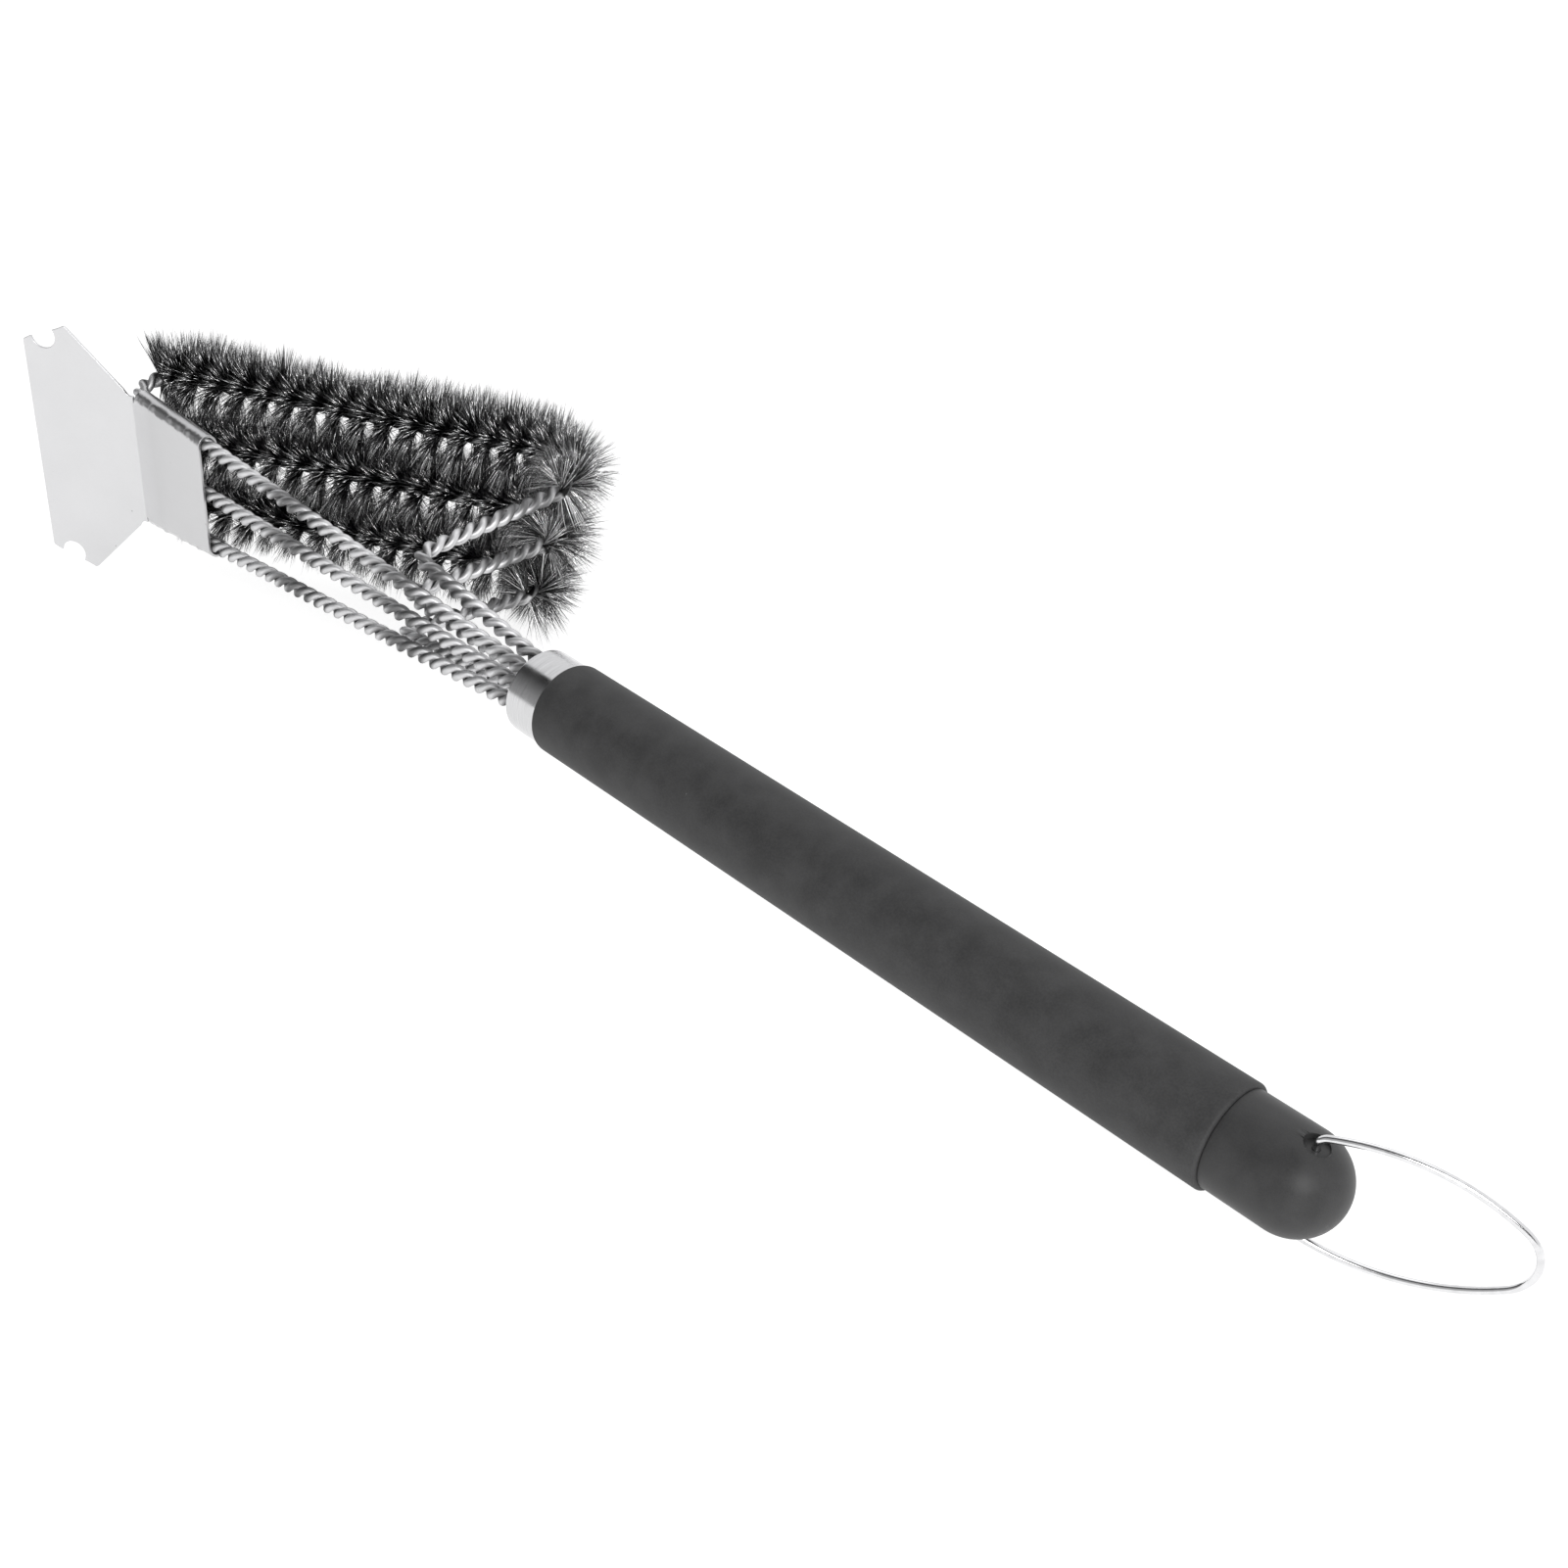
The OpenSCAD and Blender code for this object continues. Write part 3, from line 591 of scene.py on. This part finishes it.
drawnWire = strandFinish()
blackenedFilament = filamentFinish()
twistedRope = ropeTree()
bristleRows = bristleTree()
bristleValues = {"Count": "count", "Length": "length", "Spread": "spread", "Thickness": "thickness",
                 "Fan": "fan", "Lean": "lean", "Curl": "curl", "Floor": "floor", "Thinning": "thinning",
                 "Thin From": "thinFrom", "Clump": "clump", "Front Trim": "frontTrim",
                 "Front Share": "frontShare"}
for name, side in (("right", 1), ("middle", 0), ("left", -1)):
    points = smoothPath(ropeCorners(side), rope["bends"], 0.5)
    brushStart, brushEnd = brushStretch(side, points)
    lays = {"Lay": rope["lay"], "Brush Lay": rope["brushLay"], "Brush Start": brushStart,
            "Brush End": brushEnd, "Step": rope["step"]}
    mesh = grownMesh(name + "_rope", points, twistedRope,
                     {**lays, "Wire": rope["wire"], "Offset": (rope["wire"] + rope["wireGap"]) / 2,
                      "Sides": rope["sides"], "Finish": drawnWire})
    finishPiece(name + "_rope", mesh, "brush",
                [n for n in frame["nodes"] if n.startswith(name + "_wire_")])
    for part, seed in bristles["parts"]:
        values = {label: bristles[key] for label, key in bristleValues.items()}
        mesh = grownMesh(f"{name}_bristles_{part}", points, bristleRows,
                         {**lays, **values, "Seed": seed + side, "Finish": blackenedFilament})
        finishPiece(f"{name}_bristles_{part}", mesh, "brush", [name + "_bristles"])
    print(name, "rope and bristles made")


def roundedCorner(at, a, b, radius, count=6):
    # points round the corner 'at' of a profile, coming from a and leaving to b
    p, u, v = Vector(at), (Vector(a) - Vector(at)).normalized(), (Vector(b) - Vector(at)).normalized()
    centre = p + (u + v) * radius
    return [tuple(centre - u * radius * math.sin(t) - v * radius * math.cos(t))
            for t in (math.pi / 2 * k / count for k in range(count + 1))]


def turnedMesh(name, profile, closed, segments=128, smoothAngle=40):
    # profile points are (x, radius); a uv map holds the distance round the piece and along it
    bm = bmesh.new()
    rings = []
    for x, r in profile:
        if r < 1e-6:
            rings.append([bm.verts.new((x, 0, 0))])
            continue
        turns = [2 * math.pi * k / segments for k in range(segments)]
        rings.append([bm.verts.new((x, r * math.cos(t), r * math.sin(t))) for t in turns])
    uv = bm.loops.layers.uv.new("UVMap")
    widest = max(r for x, r in profile)
    pairs = list(zip(rings, rings[1:] + rings[:1])) if closed else list(zip(rings, rings[1:]))
    for a, b in pairs:
        for k in range(segments):
            n = (k + 1) % segments
            corners = [a[k % len(a)], a[n % len(a)], b[n % len(b)], b[k % len(b)]]
            faceCorners = [v for i, v in enumerate(corners) if v not in corners[:i]]
            if len(faceCorners) < 3:
                continue
            face = bm.faces.new(faceCorners)
            for corner in face.loops:
                place = corner.vert.co
                turn = math.atan2(place.z, place.y) % (2 * math.pi)
                if turn < 1e-6 and k > segments / 2:
                    turn = 2 * math.pi
                corner[uv].uv = (turn * widest, place.x)
    bmesh.ops.recalc_face_normals(bm, faces=bm.faces)
    for face in bm.faces:
        face.smooth = True
    for edge in bm.edges:
        if len(edge.link_faces) == 2 and edge.calc_face_angle() > math.radians(smoothAngle):
            edge.smooth = False
    mesh = bpy.data.meshes.new(name)
    bm.to_mesh(mesh)
    bm.free()
    return mesh


def gripProfile():
    outer, long, r = handle["gripWidth"] / 2, handle["gripLength"], handle["rimRound"]
    inner = outer - handle["wall"]
    return ([(0.0, inner)] + roundedCorner((0, outer), (0, inner), (long, outer), r)
            + [(long * k / 40, outer) for k in range(1, 40)]
            + roundedCorner((long, outer), (0, outer), (long, inner), r) + [(long, inner)])


# the steel ring at the front of the grip
ring = {"width": 23.4, "length": 11.1, "wall": 0.9, "rimRound": 0.25, "gap": 0.05,
        "tone": (0.52, 0.74), "roughness": (0.13, 0.24)}


def ringProfile():
    outer, long, gap = ring["width"] / 2, ring["length"], ring["gap"]
    inner = outer - ring["wall"]
    return ([(-long, inner)] + roundedCorner((-long, outer), (-long, inner), (0, outer), ring["rimRound"])
            + [(-long * k / 12, outer) for k in range(11, 0, -1)] + [(-gap, outer), (-gap, inner)])


gripPlastic = plasticFinish("charcoalGrip", **handle["look"])
turnedSteel = turnedFinish("turnedSteel", ring["tone"], ring["roughness"])
finishPiece("grip_sleeve", turnedMesh("grip_sleeve", gripProfile(), True, handle["segments"]), "brush",
            ["grip"], gripPlastic)
finishPiece("steel_ring", turnedMesh("steel_ring", ringProfile(), True), "brush", ["ferrule"],
            turnedSteel)

# the domed cap, with the cross hole for the hanging loop and a shallow recess round each of its ends
cap = {"width": 22.9, "straight": 14.8, "spigotWidth": 14.9, "spigotLength": 20,
       "recessWidth": 5.6, "recessFloor": 9.8, "holeWidth": 1.76, "holeSet": 2.5,
       "gap": 0.05, "rimRound": 0.25, "edgeRound": 0.16,
       "look": {"dark": 0.036, "light": 0.05, "rough": 0.45, "grain": 0.3, "cloud": 5.0}}


def capMesh():
    # straight part, dome and spigot in one
    c, long = cap, handle["gripLength"]
    r, centre, seam = c["width"] / 2, long + c["straight"], long + c["gap"]
    dome = [(centre + r * math.sin(t), r * math.cos(t)) for t in (math.pi / 2 * k / 28 for k in range(29))]
    dome[-1] = (centre + r, 0.0)
    profile = ([(long - c["spigotLength"], 0.0), (long - c["spigotLength"], c["spigotWidth"] / 2),
                (seam, c["spigotWidth"] / 2)]
               + roundedCorner((seam, r), (seam, 0), (centre, r), c["rimRound"], 4)
               + [(long + c["straight"] * k / 6, r) for k in range(1, 6)] + dome)
    whole = placedObject("cap_body", turnedMesh("cap_body", profile, False))
    hinge, outside = centre + c["holeSet"], 20
    cutters = []
    for size, low, high in ((c["holeWidth"], -outside, outside), (c["recessWidth"], c["recessFloor"], outside),
                            (c["recessWidth"], -outside, -c["recessFloor"])):
        bm = bmesh.new()
        bmesh.ops.create_cone(bm, cap_ends=True, segments=48, radius1=size / 2, radius2=size / 2,
                              depth=high - low, matrix=Matrix.Translation((hinge, 0, (high + low) / 2)))
        tool = bpy.data.meshes.new("cutter")
        bm.to_mesh(tool)
        bm.free()
        cutters.append(placedObject("cutter", tool))
        cut = whole.modifiers.new("cut", "BOOLEAN")
        cut.object, cut.operation, cut.solver = cutters[-1], "DIFFERENCE", "EXACT"
    soften = whole.modifiers.new("soften", "BEVEL")
    soften.width, soften.segments = c["edgeRound"], 3
    soften.limit_method, soften.angle_limit = "ANGLE", math.radians(35)
    made = evaluatedMesh(whole, "domed_cap")
    for obj in cutters:
        bpy.data.objects.remove(obj)
    return made


capPlastic = plasticFinish("blackCap", **cap["look"])
plugPlastic = plasticFinish("blackPlug", **handle["plugLook"])
finishPiece("domed_cap", capMesh(), "brush", ["end_cap"], capPlastic)
for node, material in (("rope_plug", plugPlastic), ("core_tube", turnedSteel)):
    frame["nodes"][node].data.materials.clear()
    frame["nodes"][node].data.materials.append(material)
print("handle made")

# the hanging loop: a sprung wire whose two ends turn in the cap's cross hole
loop = {"wire": 1.6, "halfWidth": 15.0, "reach": 44.0, "endRound": 9.0, "bendRound": 2.5,
        "restAngle": 20.0, "endGap": 3.0, "step": 0.4, "sides": 24,
        "tone": (0.66, 0.84), "roughness": (0.1, 0.22)}


def polishedFinish():
    # polished spring wire with faint drawing lines
    material, tree, shader = newMaterial("polishedWire", Metallic=1.0)
    tone = toneNode(tree, toolPlace(tree), cloud=3.0)
    run = addNode(tree, "ShaderNodeCombineXYZ", {0: attributeIn(tree, "along")})
    both = blended(tree, tone["Cloud"], 0.5, linesNode(tree, run.outputs[0], length=2.0))
    colour = ramp(tree, both, ((0.3, loop["tone"][0]), (0.7, loop["tone"][1])))
    tree.links.new(colour, shader.inputs["Base Color"])
    setRoughness(tree, shader, both, *loop["roughness"])
    bump(tree, shader, tone["Grain"], 0.05, 0.00005)
    return material


def wireTree():
    tree, given, out = newGeometryTree("bentWire", [
        ("Step", "Float"), ("Wire", "Float"), ("Sides", "Int"), ("Finish", "Material")])
    length = tree.nodes.new("GeometryNodeSplineParameter").outputs["Length"]
    stored = storedValue(tree, fineCurve(tree, given), "along", length)
    finishTree(tree, given, out, sweptWire(tree, given, stored))
    return tree


def loopPath():
    # half of the loop from its end at the hinge round to the middle of its far end, then mirrored
    half, end, bend = loop["halfWidth"], loop["endRound"], loop["bendRound"]
    crown, widest = loop["reach"] - end, loop["reach"] / 3
    run = crown - widest
    sideRound = (run * run + half * half - end * end) / (2 * (half - end))
    midY = half - sideRound
    bendY = midY + math.sqrt((sideRound - bend) ** 2 - (widest - bend) ** 2)
    far = math.atan2(-midY, crown - widest)
    near = math.atan2(bendY - midY, bend - widest)
    flat = [(0.0, loop["endGap"] / 2)]
    for k in range(25):
        t = math.pi + (near - math.pi) * k / 24
        flat.append((bend + bend * math.cos(t), bendY + bend * math.sin(t)))
    for k in range(1, 91):
        t = near + (far - near) * k / 90
        flat.append((widest + sideRound * math.cos(t), midY + sideRound * math.sin(t)))
    for k in range(1, 41):
        t = far * (1 - k / 40)
        flat.append((crown + end * math.cos(t), end * math.sin(t)))
    flat += [(x, -y) for x, y in reversed(flat[:-1])]
    hinge = handle["gripLength"] + cap["straight"] + cap["holeSet"]
    turn = math.radians(loop["restAngle"])
    return [Vector((hinge + x * math.cos(turn), x * math.sin(turn), y)) for x, y in flat]


mesh = grownMesh("hanging_wire", loopPath(), wireTree(),
                 {"Step": loop["step"], "Wire": loop["wire"], "Sides": loop["sides"], "Finish": polishedFinish()})
finishPiece("hanging_wire", mesh, "hang_loop", ["hang_loop"])
print("hanging loop made")

# the scraper; bumps are (distance from the clamp's rear edge, height share) of the marks on its roll, and the
# fold's tone is a painted shade on the clamp
scraper = {"sheet": 0.8, "clampLength": 35.4, "clampSet": 1.5, "lip": 1.0, "bendAngle": 31.5,
           "bendRound": 2.0, "plateLength": 33.0, "frontWidth": 68.8, "pointWidth": 80.8,
           "pointSet": 18.8, "pointCut": (2.6, 1.2), "cornerCut": (2.0, 1.2), "neckEdge": 1.67,
           "neckRound": 1.8, "relief": 0.6, "notch": 3.9, "notchShift": (0.4, 1.0), "edgeRound": 0.16,
           "ropeGap": 0.05, "bumps": ((7.2, 1.0), (12.0, 0.8), (16.6, 1.0), (25.8, 1.1), (31.0, 0.6)),
           "bumpHeight": 0.5, "dent": 0.22, "tone": (0.66, 0.70), "foldShade": 0.86,
           "roughness": (0.27, 0.35)}


def sheetFinish():
    # satin rolled sheet: nearly even, faint clouds, a few specks and fine rolling lines
    material, tree, shader = newMaterial("satinSheet", Metallic=1.0)
    place = toolPlace(tree)
    tone = groupNode(tree, toneAndGrain, place,
                     {"Cloud Size": 14.0, "Grain Size": 0.35, "Speck Size": 7.5, "Speck Share": 0.035})
    lines = linesNode(tree, place, length=40.0, width=0.5)
    both = blended(tree, tone["Cloud"], 0.7, lines)
    colour = ramp(tree, both, ((0.3, scraper["tone"][0]), (0.7, scraper["tone"][1])))
    # painted shade: the folded clamp is painted a little darker than the plate, which is the same sheet
    coord = tree.nodes.new("ShaderNodeTexCoord").outputs["Object"]
    along = vectorNode(tree, "DOT_PRODUCT", coord, alongGrip * 1000)
    rear = rope["root"] - rope["armLength"] + scraper["clampSet"]
    bend = rear - scraper["clampLength"] - handle["gripLength"] / 2
    colour = scaled(tree, colour, ranged(tree, along, bend - 1.0, bend + 9.0, 1.0, scraper["foldShade"]))
    setColour(tree, shader, colour, tone["Speck"], 0.4)
    setRoughness(tree, shader, both, *scraper["roughness"])
    bump(tree, shader, mathNode(tree, "ADD", tone["Grain"], lines), 0.05, 0.0001)
    return material


def plateEdge(neck):
    # half of the plate's outline, (along, across), from the neck to the middle of the front edge
    s = scraper
    half, tip = s["frontWidth"] / 2, s["pointWidth"] / 2
    (pointAlong, pointIn), (cornerAlong, cornerOut) = s["pointCut"], s["cornerCut"]
    ahead, inwards = s["notchShift"]
    a = Vector((s["pointSet"] + pointAlong, tip - pointIn))
    b = Vector((s["plateLength"] - cornerAlong, half + cornerOut))
    centre = Vector(((s["plateLength"] + s["pointSet"]) / 2 + ahead, (half + tip) / 2 - inwards))
    along = (b - a).normalized()
    foot = a + along * (centre - a).dot(along)
    reach = math.sqrt(s["notch"] ** 2 - (centre - foot).length ** 2)
    first = math.atan2(*(foot - along * reach - centre).yx)
    last = math.atan2(*(foot + along * reach - centre).yx)
    if last < first:
        last += 2 * math.pi
    turns = [first + (last - first) * k / 20 for k in range(21)]
    arc = [centre + s["notch"] * Vector((math.cos(t), math.sin(t))) for t in turns]
    # a rounded start at the neck, then the slanted flank out to the rear point
    slope, long = (tip - neck) / s["pointSet"], s["neckRound"]
    fillet = [Vector((long * k / 4, neck + slope * long * k / 4 * (k / 4) ** 0.8)) for k in range(1, 5)]
    flank = fillet + [Vector((s["pointSet"] - 0.5, tip - 0.5)), Vector((s["pointSet"] + 0.3, tip - 0.1)), a]
    return flank + arc + [b, Vector((s["plateLength"] - 0.15, half + 0.15)),
                          Vector((s["plateLength"], half - 0.3))]


def scraperMesh():
    # the middle surface of the sheet, in the clamp's frame: (forward, across, away from the bristles)
    s = scraper
    mid = rope["wire"] + rope["wireGap"] / 2 + s["ropeGap"] + s["sheet"] / 2
    rearX = rope["root"] - rope["armLength"] + s["clampSet"]
    rearY = -rope["riseIn"] + armSlopeY * (rope["root"] - rearX)

    def armAt(x):
        return rope["pitchIn"] + armSlopeZ * (rope["root"] - rearX + x)

    neck = armAt(s["clampLength"]) + s["neckEdge"]
    bm = bmesh.new()
    rollSteps, lipSteps, panelSteps, bendSteps = 14, 2, 16, 8
    rows = [s["clampLength"] * k / 70 for k in range(69)] + [s["clampLength"] - s["relief"], s["clampLength"]]

    def section(x):
        # one cross-section: lip, roll, panel, roll, lip; each point (across, away)
        arm = armAt(x)
        half = [(arm - s["lip"] * (1 - k / lipSteps), -mid) for k in range(lipSteps)]
        for k in range(rollSteps + 1):
            t = -math.pi / 2 + math.pi * k / rollSteps
            # the sheet is pressed on to the rope, which leaves low bumps along the roll
            swell = sum(size * math.exp(-((x - at) / 1.1) ** 2) for at, size in s["bumps"])
            onTop = math.exp(-((t - 0.95) / 0.3) ** 2)
            dent = s["dent"] * onTop if 3 < x < 34 else 0.0
            reach = mid + swell * (s["bumpHeight"] * onTop) - dent
            half.append((arm + reach * math.cos(t), reach * math.sin(t)))
        flat = [(arm * (1 - 2 * k / panelSteps), mid) for k in range(1, panelSteps)]
        return half + flat + [(-y, z) for y, z in reversed(half)]

    grid = [[bm.verts.new((x, y, z)) for y, z in section(x)] for x in rows]
    firstFlat = lipSteps + rollSteps
    lastFlat = firstFlat + panelSteps
    for i in range(len(rows) - 1):
        low, high = (0, len(grid[0]) - 1) if i < len(rows) - 2 else (firstFlat, lastFlat)
        for j in range(low, high):
            bm.faces.new((grid[i][j], grid[i + 1][j], grid[i + 1][j + 1], grid[i][j + 1]))
    # neck, bend and plate; along is measured on the sheet from the front edge of the clamp
    turn, bendRadius = math.radians(s["bendAngle"]), s["bendRound"] + s["sheet"] / 2
    bendLength = bendRadius * turn

    def onStrip(along, across):
        t = min(along / bendRadius, turn)
        rest = max(along - bendLength, 0.0)
        return (s["clampLength"] + bendRadius * math.sin(t) + rest * math.cos(turn), across,
                mid + bendRadius * (1 - math.cos(t)) + rest * math.sin(turn))

    columns = grid[-1][firstFlat:lastFlat + 1]
    previous = [bm.verts.new(onStrip(0, neck))] + columns + [bm.verts.new(onStrip(0, -neck))]
    across = [v.co.y for v in previous]
    for k in range(1, bendSteps + 1):
        row = [bm.verts.new(onStrip(bendLength * k / bendSteps, y)) for y in across]
        for j in range(len(row) - 1):
            bm.faces.new((previous[j], row[j], row[j + 1], previous[j + 1]))
        previous = row
    edge = plateEdge(neck)
    outline = ([onStrip(bendLength + p.x, p.y) for p in edge]
               + [onStrip(bendLength + p.x, -p.y) for p in reversed(edge)])
    # from +neck along the bend's last row to -neck, then round the outline back to +neck
    bm.faces.new(previous + [bm.verts.new(p) for p in reversed(outline)])
    bmesh.ops.recalc_face_normals(bm, faces=bm.faces)
    # clamp frame to tool frame
    bm.transform(Matrix.Translation((rearX, rearY, 0)) @ Matrix.Rotation(math.atan(-armSlopeY), 4, "Z")
                 @ Matrix.Rotation(math.radians(180), 4, "Z") @ Matrix.Rotation(math.radians(-90), 4, "X"))
    for face in bm.faces:
        face.smooth = True
    mesh = bpy.data.meshes.new("scraper_sheet")
    bm.to_mesh(mesh)
    bm.free()
    sheetObject = placedObject("scraper_sheet", mesh)
    thick = sheetObject.modifiers.new("thick", "SOLIDIFY")
    thick.thickness, thick.offset, thick.use_even_offset = s["sheet"], 0.0, True
    soften = sheetObject.modifiers.new("soften", "BEVEL")
    soften.width, soften.segments = s["edgeRound"], 2
    soften.limit_method, soften.angle_limit = "ANGLE", math.radians(50)
    even = sheetObject.modifiers.new("even", "WEIGHTED_NORMAL")
    even.mode, even.weight = "FACE_AREA", 80
    return evaluatedMesh(sheetObject, "scraper_sheet")


finishPiece("scraper_sheet", scraperMesh(), "brush", ["scraper"], sheetFinish())
print("scraper made")

# floor, light and camera; the camera's place and directions are in the tool's frame
studio = {"floorTone": 0.35, "floorGlow": 0.84, "worldStrength": 1.0, "floorSize": 6.0, "floorDrop": 0.0002,
          "sky": ((0.0, 1.0), (0.53, 0.95), (0.56, 0.02), (0.68, 0.06), (0.8, 0.2), (0.9, 0.45), (1.0, 0.6)),
          "lens": 46.458, "cameraAt": (344.3, -281.1, 273.4), "lookAlong": (-0.5739, 0.6053, -0.5515),
          "rightAlong": (0.6956, 0.7158, 0.0618), "lightsAim": (-0.1, 0.0, 0.0),
          "overhead": {"at": (-0.2, 0.7, 1.1), "size": (0.9, 0.6), "power": 1.0},
          "key": {"at": (1.0, -0.85, 0.75), "size": (0.8, 0.8), "power": 14.0}}

floorMesh = bpy.data.meshes.new("floor")
half, floorZ = studio["floorSize"], cadLow.z - studio["floorDrop"]
corners = [(-half, -half, floorZ), (half, -half, floorZ), (half, half, floorZ), (-half, half, floorZ)]
floorMesh.from_pydata(corners, [], [(0, 1, 2, 3)])
floor = placedObject("floor", floorMesh)
floorFinish, tree, shader = newMaterial("paleFloor", Roughness=0.9)
shader.inputs["Base Color"].default_value = (studio["floorTone"],) * 3 + (1,)
shader.inputs["Specular IOR Level"].default_value = 0.1
shader.inputs["Emission Color"].default_value = (1, 1, 1, 1)
shader.inputs["Emission Strength"].default_value = studio["floorGlow"]
floorMesh.materials.append(floorFinish)

world = bpy.data.worlds.new("studio")
scene.world = world
world.use_nodes = True
tree = world.node_tree
coord = tree.nodes.new("ShaderNodeTexCoord")
# the studio is dark in front, on the side away from the bristles, and light behind and above
front = vectorNode(tree, "DOT_PRODUCT", coord.outputs["Generated"], -toBristles)
sky = ramp(tree, mathNode(tree, "MULTIPLY_ADD", front, 0.5, 0.5), studio["sky"])
tree.links.new(sky, tree.nodes["Background"].inputs["Color"])
tree.nodes["Background"].inputs["Strength"].default_value = studio["worldStrength"]

for name in ("overhead", "key"):
    values = studio[name]
    light = bpy.data.lights.new(name, "AREA")
    light.shape, light.energy = "RECTANGLE", values["power"]
    light.size, light.size_y = values["size"]
    obj = placedObject(name, light)
    obj.location = values["at"]
    obj.rotation_mode = "QUATERNION"
    aim = Vector(studio["lightsAim"]) - Vector(values["at"])
    obj.rotation_quaternion = aim.to_track_quat("-Z", "Y")

lens = bpy.data.cameras.new("camera")
lens.lens, lens.sensor_width, lens.clip_start, lens.clip_end = studio["lens"], 36.0, 0.01, 50.0
camera = placedObject("camera", lens)
turnOnly = toolToRow.to_3x3() * 1000
back = -(turnOnly @ Vector(studio["lookAlong"])).normalized()
right = (turnOnly @ Vector(studio["rightAlong"])).normalized()
up = back.cross(right).normalized()
right = up.cross(back)
pose = Matrix((right, up, back)).transposed().to_4x4()
pose.translation = toolToRow @ Vector(studio["cameraAt"])
camera.matrix_world = pose
scene.camera = camera
scene.view_settings.view_transform = "Standard"

print("scene ready")
